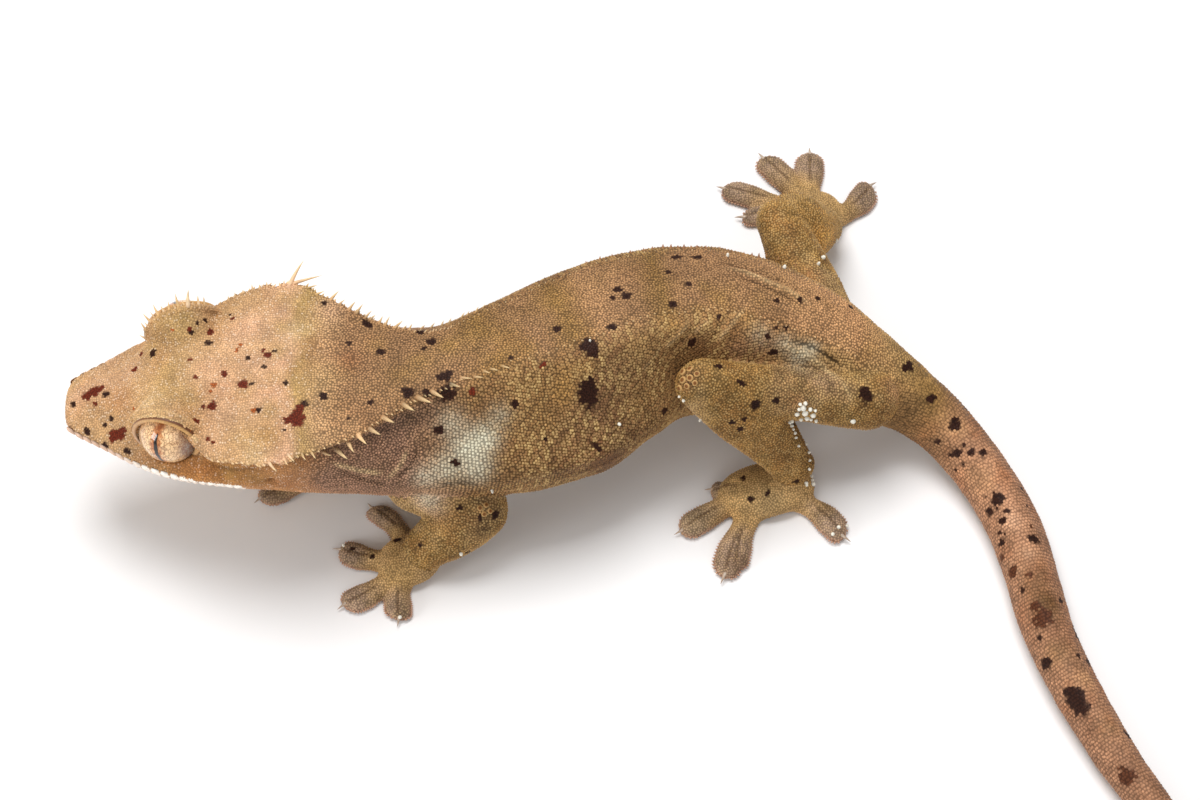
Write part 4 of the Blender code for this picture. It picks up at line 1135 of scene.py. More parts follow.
RED_SPOTS = (
    (93, 392, 5.4, 1.9, -20), (86, 396, 3), (118, 434, 5, 1.6), (112, 439, 2.8), (124, 431, 3),
    (95, 404, 2), (134, 370, 2.6, 1.4, -20), (141, 354, 2.4), (296, 418, 7.6), (299, 408, 4),
    (287, 420, 3.2), (211, 332, 3), (224, 374, 2.8), (243, 385, 4), (212, 406, 3.6), (203, 407, 2),
    (196, 421, 2.8), (190, 360, 2.2), (267, 355, 3.4), (263, 350, 1.8), (196, 377, 2.4), (233, 318, 2),
    (545, 364, 2), (541, 366, 1.6), (473, 391, 2.8), (213, 443, 1.8), (208, 439, 1.6), (190, 329, 2),
    (350, 303, 2.2),
)
ORANGE_SPOTS = (
    (213, 385, 2.2), (211, 391, 2), (254, 410, 2), (190, 432, 2), (237, 350, 1.8), (241, 345, 1.6),
    (230, 398, 1.5), (134, 409, 1.6), (172, 330, 1.6),
)
BROWN_SPOTS = (
    (1043, 617, 9), (1126, 776, 8), (1013, 572, 5), (1030, 575, 3), (1002, 558, 3), (1031, 526, 2),
    (1036, 606, 5),
)
# Raised scales, as (x, y, radius) in pixels: the white ones, and the ringed ones at the knee and elbow.
WHITE_SPOTS = (
    (803, 408, 3.4), (797, 414, 2.6), (805, 413, 3.2), (807, 418, 2.8), (813, 415, 3.0), (810, 409, 2.2),
    (799, 409, 2.0), (801, 419, 2.2), (809, 422, 2.0), (800, 404, 1.8), (805, 403, 2.2), (815, 410, 1.8),
    (811, 419, 2.0), (806, 424, 1.6), (810, 432, 1.6), (813, 441, 1.5), (816, 450, 1.4), (818, 463, 1.4),
    (821, 484, 1.8), (824, 490, 1.8), (816, 420, 1.8), (853, 421, 2.8), (808, 428, 1.8), (812, 436, 1.8),
    (814, 446, 1.6), (817, 455, 1.5), (820, 480, 2), (822, 488, 2.6), (818, 472, 1.6), (825, 493, 1.6),
    (684, 400, 1.8), (701, 419, 1.4), (680, 396, 1.6), (849, 533, 2.2), (843, 540, 2), (846, 526, 1.6),
    (619, 424, 1.9), (590, 341, 1.3), (733, 250, 1.8), (784, 268, 2.0), (846, 233, 2), (843, 245, 2.2),
    (838, 252, 1.8), (400, 617, 1.8), (344, 546, 1.6), (492, 490, 1.4), (441, 575, 2.0),
)
KNEE_SPOTS = (
    (683, 372, 4.0), (690, 369, 3.4), (683, 380, 3.8), (690, 378, 3.8), (697, 374, 3.2), (680, 388, 3.4),
    (687, 386, 3.2), (695, 383, 3.0), (480, 508, 3.0), (486, 505, 2.8), (484, 514, 3.0), (490, 511, 2.8),
)


SPOT_TABLES = (
    (DARK_SPOTS, INK),
    (RED_SPOTS, RED_MARK),
    (ORANGE_SPOTS, ORANGE_MARK),
    (BROWN_SPOTS, SOFT_BROWN),
)


FAR_MARKS = 46
MARK_SIZE = 1.18
CLOUD_REACH = 2.2
OLIVE_CAST = np.array((0.84, 0.90, 0.72))
WARM_CAST = np.array((1.14, 1.0, 0.96))
RUSTY_CAST = np.array((0.92, 0.74, 0.62))
TOE_PINK = tone(200, 150, 132) * LEVEL
GLINT = tone(255, 236, 214) * 0.92
THROAT_TO = 40


def far_marks(draw):
    """Scattered spots for the side that the photograph doesn't show, as (d, angle, radius)."""
    found = []
    for _ in range(FAR_MARKS):
        d, angle = draw.uniform(22, 200), draw.uniform(0.8, 2.2)
        radius = draw.uniform(0.3, 0.75)
        found.append((d, angle, radius * (1.5 if draw.random() < 0.15 else 1)))
    return found


def along_colours(table, along):
    knots = np.array([row[0] for row in table])
    values = np.array([row[1] for row in table])
    return np.stack([np.interp(along, knots, values[:, i]) for i in range(3)], axis=1)


def toe_creases(points):
    """How near each point is to the crease along the middle of a pad, from 0 to 1."""
    best = np.zeros(len(points))
    flat = points * (1, 1, 0)
    for leg, toe in all_toes():
        centres, _, _ = toe_outline(leg, toe, np.linspace(0.5, 0.96, 8))
        near = np.linalg.norm(flat - centres.mean(axis=0), axis=1) < TOE_REACH
        distance, where = polyline_distance(flat[near], list(centres * (1, 1, 0)))
        fade = np.clip(5 * np.minimum(where, 1 - where) + 0.2, 0, 1)
        best[near] = np.maximum(best[near], fade * np.exp(-((distance / CREASE_WIDTH) ** 2)))
    return best


def mix(one, other, share):
    share = np.asarray(share)[:, None]
    return one * (1 - share) + other * share


def lines(across, points, pitch, seed):
    """Fine wavy lines at an even pitch, from 0 to 1, that fade in and out."""
    wave = across / pitch + 0.55 * noise(points, 3.2, seed) + 0.25 * noise(points, 1.1, seed + 1)
    off = wave - np.round(wave)
    return np.exp(-((off / 0.2) ** 2)) * np.clip(0.55 + 1.1 * noise(points, 2.6, seed + 2), 0, 1)


class Regions(NamedTuple):
    """How much each point belongs to each region of the animal, from 0 to 1."""

    body: np.ndarray
    back: np.ndarray
    belly: np.ndarray
    leg: np.ndarray
    foot: np.ndarray
    toes: np.ndarray
    head: np.ndarray
    tail: np.ndarray
    flank: np.ndarray


def regions(here):
    along = here["along"]
    body = (here["part"] == BODY) | (here["part"] == LID)
    # The near edge of the back is sharp on the head and neck, and soft and uneven behind them.
    soft = step_up(along, 52, 66)
    uneven = 1.1 * noise(here["points"], 3.0, 31) * soft
    wide = 0.5 + 1.5 * soft
    edge = here["crest"] + 0.5
    inside = step_up(np.abs(here["out"]) + uneven, edge + 0.6 * wide, edge - wide)
    low, high = here["crest_high"] - 0.4 - wide, here["crest_high"] - 0.2 + 0.1 * wide
    above = step_up(here["high"] + uneven, low, high)
    back = np.where(body, inside * above, 0)
    below = step_up(here["high"], here["flank"] - 0.5 * here["depth"], here["flank"] - 0.9 * here["depth"])
    belly = np.where(body, below, 0)
    foot = (here["part"] >= FIRST_LEG) & (here["part"] % 2 == 1)
    leg = (here["part"] >= FIRST_LEG) & ~foot
    toes = np.where(foot, step_up(along, 0.35, 0.85), 0)
    head = step_up(along, 36, 31) * body
    tail = step_up(along, 108, 122) * body
    return Regions(body, back, belly, leg, foot, toes, head, tail, body * (1 - back) * (1 - head))


class Painter:
    """Gives each point of the skin its two colours, of the middle and the rim of the scales there."""

    def __init__(self, photo, folds):
        self.folds = folds
        self.clouds = self.placed(photo, CLOUDS)
        self.sheens = self.placed(photo, SHEENS)
        self.spots = []
        for table, colour in SPOT_TABLES:
            for row in table:
                self.add_mark(photo, Mark(*row), colour)
        for d, angle, radius in far_marks(random.Random(11)):
            centre, _, side, up = arrays_at(d)
            section = section_at(d)
            out = -side * (section.width * math.sin(angle)) + up * (section.top * 0.8 * math.cos(angle))
            self.spots.append((centre + out, radius, INK, 1.0, up))

    def add_mark(self, photo, mark, colour):
        """Adds a spot as (point of the skin, radius in mm, colour, how long it is, the way it is long)."""
        place = photo.on_skin(mark.x, mark.y)
        if place is None:
            return
        turn = math.radians(mark.degrees)
        beside = photo.on_skin(mark.x + 2 * math.cos(turn), mark.y + 2 * math.sin(turn))
        way = np.array((1.0, 0.0, 0.0)) if beside is None else beside - place
        way = way / max(np.linalg.norm(way), 1e-6)
        self.spots.append((place, mark.radius * PIXEL * MARK_SIZE, colour, mark.long, way))

    @staticmethod
    def placed(photo, clouds):
        """The clouds as (point of the skin, radius in mm, colour, share)."""
        found = []
        for x, y, radius, colour, share in clouds:
            place = photo.on_skin(x, y)
            if place is not None:
                found.append((place, radius * PIXEL, colour, share))
        return found

    def paint(self, here, normals):
        """(colour in the middle of a scale, colour at its rim, size class) for each point."""
        points = here["points"]
        region = regions(here)
        wide, medium, fine = noise(points, 6.0, 1), noise(points, 2.2, 2), noise(points, 0.9, 3)
        colour = self.ground(here, region, wide, medium)
        self.add_clouds(points, colour, 0.85 + 0.3 * region.head + 0.35 * medium)
        colour = self.mottled(points, region, colour, (wide, medium, fine))
        colour = self.edged(here, region, colour, normals)
        rng = np.random.default_rng(5)
        middle, rim = self.scale_tones(here, region, colour, rng)
        self.add_sheens(points, region, middle, rim, rng)
        self.add_spots(points, middle, rim)
        return np.clip(middle, 0, 0.95), np.clip(rim, 0, 0.95), self.sizes(here, region)

    @staticmethod
    def ground(here, region, wide, medium):
        """The bands along the body, and the colours of legs and feet."""
        along = here["along"] + 1.6 * noise(here["points"], 5.0, 4)
        colour = mix(along_colours(FLANK_BANDS, along), along_colours(BACK_BANDS, along), region.back)
        gold = np.broadcast_to(LEG_GOLD, colour.shape)
        leg_colour = mix(gold, LEG_BROWN, np.clip(0.35 + wide + medium, 0, 1))
        leg_colour = mix(leg_colour, GREY_PINK * 0.9, np.clip(0.1 - medium - wide, 0, 1) * 0.35)
        colour = np.where(region.leg[:, None], leg_colour, colour)
        sole_gold = np.broadcast_to(LEG_GOLD * 0.95 + GREY_PINK * 0.3, colour.shape)
        foot_colour = mix(sole_gold, GREY_PINK * 0.86, np.clip(region.toes + 0.3 * medium, 0, 1))
        return np.where(region.foot[:, None], foot_colour, colour)

    def add_clouds(self, points, colour, cloudy):
        for place, radius, tint, share in self.clouds:
            distance = np.linalg.norm(points - place, axis=1)
            near = distance < CLOUD_REACH * radius
            amount = share * np.exp(-((distance[near] / radius) ** 2)) * cloudy[near]
            colour[near] = mix(colour[near], tint, np.clip(amount, 0, 1))

    @staticmethod
    def mottled(points, region, colour, waves):
        """Olive, warm and rusty patches, and an uneven tone all over."""
        wide, medium, fine = waves
        olive = np.clip(0.5 * wide + 0.5 * medium, 0, 1) * 0.5 * region.body * (1 - 0.8 * region.tail)
        colour = mix(colour, colour * OLIVE_CAST, olive)
        warm = np.clip(-0.5 * wide - 0.4 * fine, 0, 1) * 0.5 * region.body
        colour = mix(colour, colour * WARM_CAST, warm)
        uneven = 0.10 + 0.20 * (region.leg | region.foot) + 0.10 * region.tail
        colour = colour * (1 + 0.12 * medium + 0.12 * fine + uneven * noise(points, 1.4, 33))[:, None]
        rusty = np.clip(0.9 * noise(points, 3.4, 35) + 0.5 * noise(points, 1.3, 36), 0, 1)
        rusty = rusty * (0.75 * region.tail + 0.35 * region.head + 0.25 * region.leg)
        return mix(colour, colour * RUSTY_CAST, rusty)

    def edged(self, here, region, colour, normals):
        """The undersides, the painted shade under the crest, the lips, the painted shade in the pads'
        creases, the edges of toes, and the folds' painted light and shade.
        """
        points = here["points"]
        under = np.where(here["along"] < THROAT_TO, 1.0, 0.0)[:, None]
        colour = mix(colour, BELLY * (1 - under) + THROAT * under, region.belly * 0.8)
        shade = np.exp(-(((here["high"] - here["crest_high"] + 1.5) / 1.1) ** 2)) * (1 - region.back)
        shade *= step_up(here["along"], 20, 30) * step_up(here["along"], 56, 44)
        colour = mix(colour, colour * 0.6, shade * region.body)
        lip = np.exp(-(((here["high"] - here["mouth"] - 0.2) / 0.6) ** 2)) * step_up(here["along"], 26, 22)
        pale = mix(np.broadcast_to(LIP_PINK, colour.shape), LIP_WHITE, step_up(here["along"], 9, 17))
        colour = mix(colour, pale, np.clip(lip * 0.8, 0, 1) * region.body * (1 - region.back))
        # Painted shade in the crease along the middle of each pad.
        crease = toe_creases(points) * (normals[:, 2] > 0.2)
        colour = mix(colour, UMBER * 0.8, crease * 0.75 * region.foot)
        edge = step_up(points[:, 2], 0.9, 0.3) * region.toes
        colour = mix(colour, TOE_PINK, edge * 0.6)
        sole = step_up(normals[:, 2], -0.35, -0.8) * region.foot
        colour = mix(colour, SOLE, sole)
        under_leg = step_up(normals[:, 2], -0.1, -0.7) * region.leg
        colour = mix(colour, BELLY, under_leg * 0.6)
        # Painted light and shade of the folds: their ridges are painted pale and their creases dark.
        shares, _ = fold_shading_and_relief(points, self.folds)
        colour = mix(colour, CREAM * 1.05, np.clip(shares, 0, 1) * 0.75)
        return mix(colour, UMBER * 0.5, np.clip(-shares, 0, 1) * 0.85)

    @staticmethod
    def scale_tones(here, region, colour, rng):
        """How the scales' middles and rims differ, with a fine pale net over the flank. The rims are darker,
        partly the scales' own tone and partly painted shade between the granules; some head scales get a
        painted glint.
        """
        points = here["points"]
        grain = rng.normal(0, 1, len(points))
        behind = region.body * (1 - region.head) * (1 - region.tail)
        spread = 0.08 + 0.05 * behind + 0.05 * region.flank + 0.06 * region.leg
        bright = 1.10 + 0.12 * behind + 0.10 * region.flank + 0.14 * region.leg + 0.08 * region.foot
        dark = 0.84 + 0.03 * region.head - 0.25 * behind - 0.04 * region.flank
        dark = dark - 0.20 * region.leg - 0.10 * region.foot - 0.08 * region.tail
        middle = colour * (bright * np.exp(spread * grain))[:, None]
        rim = colour * dark[:, None]
        run, rise = here["along"], here["high"]
        steep = lines(run + 0.45 * rise, points, 1.15, 41)
        net = np.maximum(steep, 0.6 * lines(0.6 * run - rise, points, 1.5, 51))
        netted = step_up(run, 48, 58) * step_up(run, 104, 84) * 0.85 + 0.12
        net = net * region.flank * (1 - region.belly) * (1 - region.tail) * netted
        middle = mix(middle, STRAW * 1.15, net * rng.uniform(0.5, 1.0, len(points)))
        rim = mix(rim, GOLD * 0.9, net * 0.6)
        golden = (region.leg + 0.6 * region.foot) * (rng.random(len(points)) < 0.3) * 0.4
        middle = mix(middle, STRAW, golden)
        glint = region.head * (rng.random(len(points)) < 0.2) * rng.uniform(0.1, 0.4, len(points))
        return mix(middle, GLINT, glint), rim

    def add_sheens(self, points, region, middle, rim, rng):
        """Light on the scales' tips."""
        for place, radius, tint, share in self.sheens:
            distance = np.linalg.norm(points - place, axis=1)
            near = (distance < CLOUD_REACH * radius) & (region.back < 0.6)
            amount = share * np.exp(-((distance[near] / radius) ** 2)) * rng.uniform(0.55, 1.0, near.sum())
            middle[near] = mix(middle[near], tint, np.clip(amount, 0, 1))
            rim[near] = mix(rim[near], tint * 0.62, np.clip(0.8 * amount, 0, 1))

    def add_spots(self, points, middle, rim):
        ragged = noise(points, 0.45, 6)
        for place, radius, colour, long, way in self.spots:
            near = np.nonzero(np.abs(points - place).max(axis=1) < radius * long * 1.6)[0]
            if not len(near):
                continue
            offset = points[near] - place
            run = offset @ way
            reach = np.sqrt(np.maximum((offset**2).sum(1) - run**2, 0) + (run / long) ** 2)
            share = step_up(reach / radius + 0.42 * ragged[near], 1.12, 0.9)
            middle[near] = mix(middle[near], colour * 1.15, share)
            rim[near] = mix(rim[near], colour * 0.75, share)

    @staticmethod
    def sizes(here, region):
        """Size class of the scales, an index in SCALES."""
        uneven = 2.5 * noise(here["points"], 1.6, 8) + 1.2 * noise(here["points"], 0.6, 9)
        size = np.full(len(region.body), FLANK_SCALES)
        size[region.body & ((region.back > 0.5) | (here["along"] + uneven < FLANK_ROWS_FROM))] = BACK_SCALES
        size[region.body & (region.belly > 0.6)] = BELLY_SCALES
        size[region.body & (here["along"] + uneven > TAIL_SCALES_FROM)] = TAIL_SCALES
        size[region.body & (here["along"] + 2 * uneven < HEAD_SCALES_TO)] = HEAD_SCALES
        size[here["part"] == LID] = HEAD_SCALES
        size[region.leg] = LIMB_SCALES
        size[region.foot] = TOE_SCALES
        return size


class Scales(NamedTuple):
    """One class of scales: spacing and height in mm, and share of the spacing that a scale's radius takes."""

    name: str
    spacing: float
    height: float
    cover: float


HEAD_SCALES, BACK_SCALES, FLANK_SCALES, LIMB_SCALES, BELLY_SCALES, TOE_SCALES, TAIL_SCALES = range(7)
SCALES = (
    Scales("head", 0.26, 0.11, 0.84),
    Scales("back", 0.30, 0.12, 0.84),
    Scales("flank", 0.40, 0.14, 0.71),
    Scales("limb", 0.30, 0.14, 0.84),
    Scales("belly", 0.40, 0.10, 0.71),
    Scales("toe", 0.27, 0.10, 0.84),
    Scales("tail", 0.46, 0.08, 0.60),
)
SCATTERED = (HEAD_SCALES, BACK_SCALES, LIMB_SCALES, TOE_SCALES)
IN_ROWS = (FLANK_SCALES, BELLY_SCALES, TAIL_SCALES)
HEAD_SCALES_TO = 35.0
FLANK_ROWS_FROM = 46.0
TAIL_SCALES_FROM = 118.0
ROW_PITCH = 0.345
ROW_SPACING = 0.40
TAIL_PITCH = 0.48
TAIL_SPACING = 0.44
SNAP_REACH = 0.8
MOST_TRIANGLES = 190000
ROW_SHAKE = 0.06
PATCH = 0.0015
SUNK = 0.05
CLEAR_OF_FLOOR = 0.12
# Outlines of scales, as (sides, whether they are square).
SIX_SIDED = (6, 0)
SQUARE = (8, 1)
ROUND = (12, 0)
# Rings of a scale from the top down, as (share of the radius, share of the height).
CONE = ((1.0, 0.0),)
DOME = ((0.4, 0.92), (0.75, 0.66), (0.95, 0.25), (1.0, 0.0))


def scatter_group(spacing, wanted, seed):
    """A node group that spreads points over the faces whose scale class is the wanted one."""
    group = bpy.data.node_groups.new(f"scatter_{wanted}", "GeometryNodeTree")
    group.interface.new_socket("Geometry", in_out="INPUT", socket_type="NodeSocketGeometry")
    group.interface.new_socket("Geometry", in_out="OUTPUT", socket_type="NodeSocketGeometry")
    nodes, link = group.nodes, group.links.new
    start = nodes.new("NodeGroupInput")
    end = nodes.new("NodeGroupOutput")
    named = nodes.new("GeometryNodeInputNamedAttribute")
    named.data_type = "FLOAT"
    named.inputs["Name"].default_value = "scale_class"
    same = nodes.new("FunctionNodeCompare")
    same.data_type = "FLOAT"
    same.operation = "EQUAL"
    same.inputs["B"].default_value = float(wanted)
    same.inputs["Epsilon"].default_value = 0.3
    spread = nodes.new("GeometryNodeDistributePointsOnFaces")
    spread.distribute_method = "POISSON"
    spread.inputs["Distance Min"].default_value = spacing
    spread.inputs["Density Max"].default_value = 5.0 / spacing**2
    spread.inputs["Seed"].default_value = seed
    keep = nodes.new("GeometryNodeStoreNamedAttribute")
    keep.data_type = "FLOAT_VECTOR"
    keep.domain = "POINT"
    keep.inputs["Name"].default_value = "outward"
    turn = nodes.new("GeometryNodePointsToVertices")
    link(named.outputs["Attribute"], same.inputs["A"])
    link(start.outputs[0], spread.inputs["Mesh"])
    link(same.outputs["Result"], spread.inputs["Selection"])
    link(spread.outputs["Points"], keep.inputs["Geometry"])
    link(spread.outputs["Normal"], keep.inputs["Value"])
    link(keep.outputs["Geometry"], turn.inputs["Points"])
    link(turn.outputs[0], end.inputs[0])
    return group


def scatter(skin, wanted, spacing):
    """(points, outward directions) of the scales of one class on the skin."""
    change = skin.modifiers.new("scatter", "NODES")
    change.node_group = scatter_group(spacing, wanted, 20 + wanted)
    mesh = evaluated_mesh(skin)
    skin.modifiers.remove(change)
    points = mesh_points(mesh)
    outward = read(mesh.attributes["outward"].data, "vector", 3, np.float32).astype(float)
    bpy.data.meshes.remove(mesh)
    return points, outward


def unit(vectors):
    return vectors / np.maximum(np.linalg.norm(vectors, axis=-1), 1e-9)[..., None]


def row_points():
    """Places in staggered rows round the body, with the way along it there."""
    found, ways = [], []
    d = FLANK_ROWS_FROM - 5.0
    places = []
    while d < TAIL_END - 0.7:
        places.append(d)
        d += TAIL_PITCH if d > TAIL_SCALES_FROM else ROW_PITCH
    centre, tangent, side, up = body_frames(places)
    for row, d in enumerate(places):
        half = half_section(section_at(d))
        run = np.concatenate([[0.0], np.cumsum(np.linalg.norm(np.diff(half, axis=0), axis=1))])
        spacing = TAIL_SPACING if d > TAIL_SCALES_FROM else ROW_SPACING
        at = np.arange(0.5 * (row % 2), run[-1] / spacing, 1.0) * spacing
        a = np.interp(at, run, half[:, 0])
        b = np.interp(at, run, half[:, 1])
        for side_sign, _ in SIDES:
            skip = 1 if side_sign == RIGHT and row % 2 == 0 else 0
            line = centre[row] + np.outer(a[skip:] * side_sign, side[row]) + np.outer(b[skip:], up[row])
            found.append(line)
            ways.append(np.broadcast_to(tangent[row], line.shape))
    found = np.vstack(found)
    return found + np.random.default_rng(2).normal(0, ROW_SHAKE, found.shape), np.vstack(ways)


def snapped(points, ways, tree, corners, normals):
    """The row points moved onto the skin, with the directions outward and along, where the skin is close."""
    kept, outward, chosen = [], [], []
    for i, p in enumerate(points):
        place, _, face, distance = tree.find_nearest(p)
        if distance > SNAP_REACH:
            continue
        kept.append(place)
        outward.append(normals[corners[face]].mean(axis=0))
        chosen.append(i)
    outward = unit(np.array(outward))
    ways = ways[chosen]
    ways = unit(ways - outward * np.einsum("ij,ij->i", ways, outward)[:, None])
    return np.array(kept), outward, ways


def set_colours(mesh, name, colours):
    layer = mesh.color_attributes.new(name, "FLOAT_COLOR", "POINT")
    rgba = np.ones((len(colours), 4), np.float32)
    rgba[:, :3] = colours
    layer.data.foreach_set("color", rgba.ravel())


def set_rise(mesh, values):
    layer = mesh.attributes.new("rise", "FLOAT", "POINT")
    layer.data.foreach_set("value", np.asarray(values, np.float32))


def set_unwrap(mesh, per_vertex):
    """Writes the OFBake map from one place for each vertex."""
    layer = mesh.uv_layers.new(name="OFBake")
    index = read(mesh.loops, "vertex_index", 1, np.int32)[:, 0]
    layer.data.foreach_set("uv", np.asarray(per_vertex, np.float32)[index].ravel())


class Domes(NamedTuple):
    """Arrays with a row for each scale: where it is, its two directions, its sizes in mm and its colours."""

    points: np.ndarray
    outward: np.ndarray
    ways: np.ndarray
    long: np.ndarray
    wide: np.ndarray
    height: np.ndarray
    middle: np.ndarray
    rim: np.ndarray
    unwrap: np.ndarray


def scale_mesh(name, domes, sides, square, seed, rings):
    """Low domes joined in one mesh."""
    rng = np.random.default_rng(seed)
    points, outward, ways, long, wide, height, middle, rim, unwrap = domes
    n, k = len(points), sides
    other = np.cross(outward, ways)
    long = long * rng.uniform(0.92, 1.08, n)
    wide = wide * rng.uniform(0.92, 1.08, n)
    height = height * rng.uniform(0.75, 1.25, n)
    top = points + outward * height[:, None]
    made = [top[:, None, :]]
    patch = [unwrap[:, None, :]]
    rise = [np.ones((n, 1))]
    for reach, lift in rings:
        for i in range(k):
            turn = 2 * math.pi * (i + 0.5 * square) / k
            cosine, sine = reach * math.cos(turn), reach * math.sin(turn)
            fit = 1 / max(abs(math.cos(turn)), abs(math.sin(turn))) ** square
            out = ways * (cosine * fit * long)[:, None] + other * (sine * fit * wide)[:, None]
            drop = outward * (lift * height - SUNK * (lift <= 0))[:, None]
            made.append((points + out + drop)[:, None, :])
            patch.append((unwrap + PATCH * np.array((cosine, sine)))[:, None, :])
            rise.append(np.full((n, 1), 1 - reach))
    verts = np.concatenate(made, axis=1).reshape(-1, 3)
    size = 1 + k * len(rings)
    base = (np.arange(n) * size)[:, None]
    faces = []
    for i in range(k):
        near, far = 1 + i, 1 + (i + 1) % k
        faces.append(np.concatenate([base, base + near, base + far], axis=1))
        for level in range(len(rings) - 1):
            low = 1 + (level + 1) * k
            faces.append(np.concatenate([base + near, base + low + i, base + low + (i + 1) % k], axis=1))
            faces.append(np.concatenate([base + near, base + low + (i + 1) % k, base + far], axis=1))
            near, far = low + i, low + (i + 1) % k
    obj = write_mesh(name, verts, np.vstack(faces))
    set_colours(obj.data, "tint", np.repeat(middle, size, axis=0))
    set_colours(obj.data, "rim", np.repeat(rim, size, axis=0))
    set_rise(obj.data, np.concatenate(rise, axis=1).ravel())
    set_unwrap(obj.data, np.concatenate(patch, axis=1).reshape(-1, 2))
    obj.data.shade_smooth()
    return obj


def random_ways(outward, seed):
    rng = np.random.default_rng(seed)
    return unit(np.cross(outward, rng.normal(0, 1, outward.shape)))


class Spine(NamedTuple):
    """A curved, pointed spine in mm. The skin's own colour is at its root and tip_colour at its tip."""

    root: np.ndarray
    direction: np.ndarray
    bend: np.ndarray
    length: float
    radius: float
    root_colour: np.ndarray
    tip_colour: np.ndarray


# The share of a spine's length that is under the skin.
ROOTED = 0.15


def cones(name, rows, sides, levels, field):
    """Spines joined in one mesh."""
    verts, faces, colours, roots = [], [], [], []
    for row in rows:
        first = len(verts)
        direction = row.direction / np.linalg.norm(row.direction)
        across = np.cross(direction, row.bend)
        if np.linalg.norm(across) < 1e-6:
            across = np.cross(direction, (0.3, 0.5, 0.8))
        across /= np.linalg.norm(across)
        for level in range(levels):
            share = level / levels
            middle = row.root + direction * (row.length * (share * (1 + ROOTED) - ROOTED))
            middle = middle + row.bend * (row.length * share**2)
            thick = row.radius * (1 - share) ** 0.85
            second = np.cross(direction + 2 * row.bend * share, across)
            second /= np.linalg.norm(second)
            for i in range(sides):
                turn = 2 * math.pi * i / sides
                verts.append(middle + across * (thick * math.cos(turn)) + second * (thick * math.sin(turn)))
                colours.append(row.root_colour * (1 - share) + row.tip_colour * share)
                roots.append(row.root)
        verts.append(row.root + direction * row.length + row.bend * row.length)
        colours.append(row.tip_colour)
        roots.append(row.root)
        for level in range(levels - 1):
            for i in range(sides):
                a = first + level * sides + i
                b = first + level * sides + (i + 1) % sides
                faces.append((a, b, b + sides, a + sides))
        last = first + (levels - 1) * sides
        for i in range(sides):
            faces.append((last + i, last + (i + 1) % sides, len(verts) - 1))
        faces.append(tuple(first + i for i in reversed(range(sides))))
    verts = np.array(verts)
    obj = write_mesh(name, verts, faces)
    set_colours(obj.data, "tint", np.clip(np.array(colours), 0, 1))
    roots = np.array(roots)
    unwrap = field.describe(roots)["unwrap"]
    offset = verts - roots
    set_unwrap(obj.data, unwrap + PATCH * offset[:, :2] / max(np.abs(offset).max(), 1e-6))
    obj.data.shade_smooth()
    return obj


class Spike(NamedTuple):
    """A spine in the photograph: the pixels of its root and tip, and its radius at the root in mm."""

    root_x: float
    root_y: float
    tip_x: float
    tip_y: float
    radius: float


# Each row has the values of a Spike.
FAR_LASHES = (
    (146, 330, 141, 323, 0.2), (145, 338, 139, 335, 0.18), (151, 322, 144, 315, 0.22),
    (158, 314, 153, 305, 0.24), (163, 310, 160, 305, 0.18), (169, 307, 168, 300, 0.2),
    (177, 301, 174, 290, 0.26), (188, 300, 188, 287, 0.34), (198, 299, 197, 291, 0.24),
    (204, 300, 203, 292, 0.22), (148, 326, 144, 322, 0.14), (155, 318, 151, 313, 0.15),
    (182, 301, 180, 297, 0.16), (193, 300, 193, 296, 0.16), (173, 304, 171, 300, 0.14),
)
FAR_SPIKES = (
    (229, 301, 228, 296, 0.18), (236, 298, 235, 294, 0.14), (243, 296, 243, 292, 0.16),
    (253, 292, 252, 286, 0.18), (260, 289, 259, 284, 0.18), (267, 285, 266, 280, 0.18),
    (272, 284, 271, 280, 0.15), (279, 282, 278, 277, 0.18), (284, 279, 284, 274, 0.18),
    (288, 278, 288, 273, 0.16), (295, 275, 302, 262, 0.36), (305, 280, 319, 276, 0.3),
    (311, 287, 320, 284, 0.18), (322, 292, 329, 289, 0.2), (334, 296, 341, 288, 0.26),
    (343, 301, 349, 296, 0.18), (351, 307, 357, 299, 0.26), (358, 311, 364, 302, 0.26),
    (366, 317, 372, 310, 0.22), (371, 319, 376, 314, 0.2), (380, 322, 383, 315, 0.22),
    (386, 324, 390, 315, 0.22), (395, 328, 402, 321, 0.26), (403, 329, 407, 325, 0.16),
    (409, 330, 412, 324, 0.2), (419, 331, 423, 327, 0.2), (429, 331, 433, 325, 0.2),
    (441, 328, 443, 322, 0.2), (448, 327, 450, 321, 0.2), (459, 323, 462, 317, 0.2),
    (465, 321, 467, 316, 0.16), (475, 315, 477, 310, 0.18), (481, 312, 483, 308, 0.16),
)
NEAR_SPIKES = (
    (270, 464, 277, 473, 0.26), (284, 459, 288, 466, 0.2), (289, 456, 295, 463, 0.26),
    (302, 455, 306, 461, 0.2), (312, 453, 316, 460, 0.22), (323, 452, 332, 457, 0.3),
    (336, 449, 348, 461, 0.42), (348, 442, 354, 454, 0.4), (358, 435, 367, 446, 0.42),
    (370, 429, 381, 436, 0.42), (384, 418, 395, 424, 0.4), (404, 405, 415, 412, 0.42),
    (419, 398, 432, 404, 0.42), (433, 392, 444, 399, 0.38), (451, 384, 461, 388, 0.3),
    (462, 378, 472, 379, 0.28), (475, 377, 484, 378, 0.26), (484, 371, 491, 374, 0.24),
    (491, 369, 499, 371, 0.24), (502, 366, 511, 369, 0.24),
)
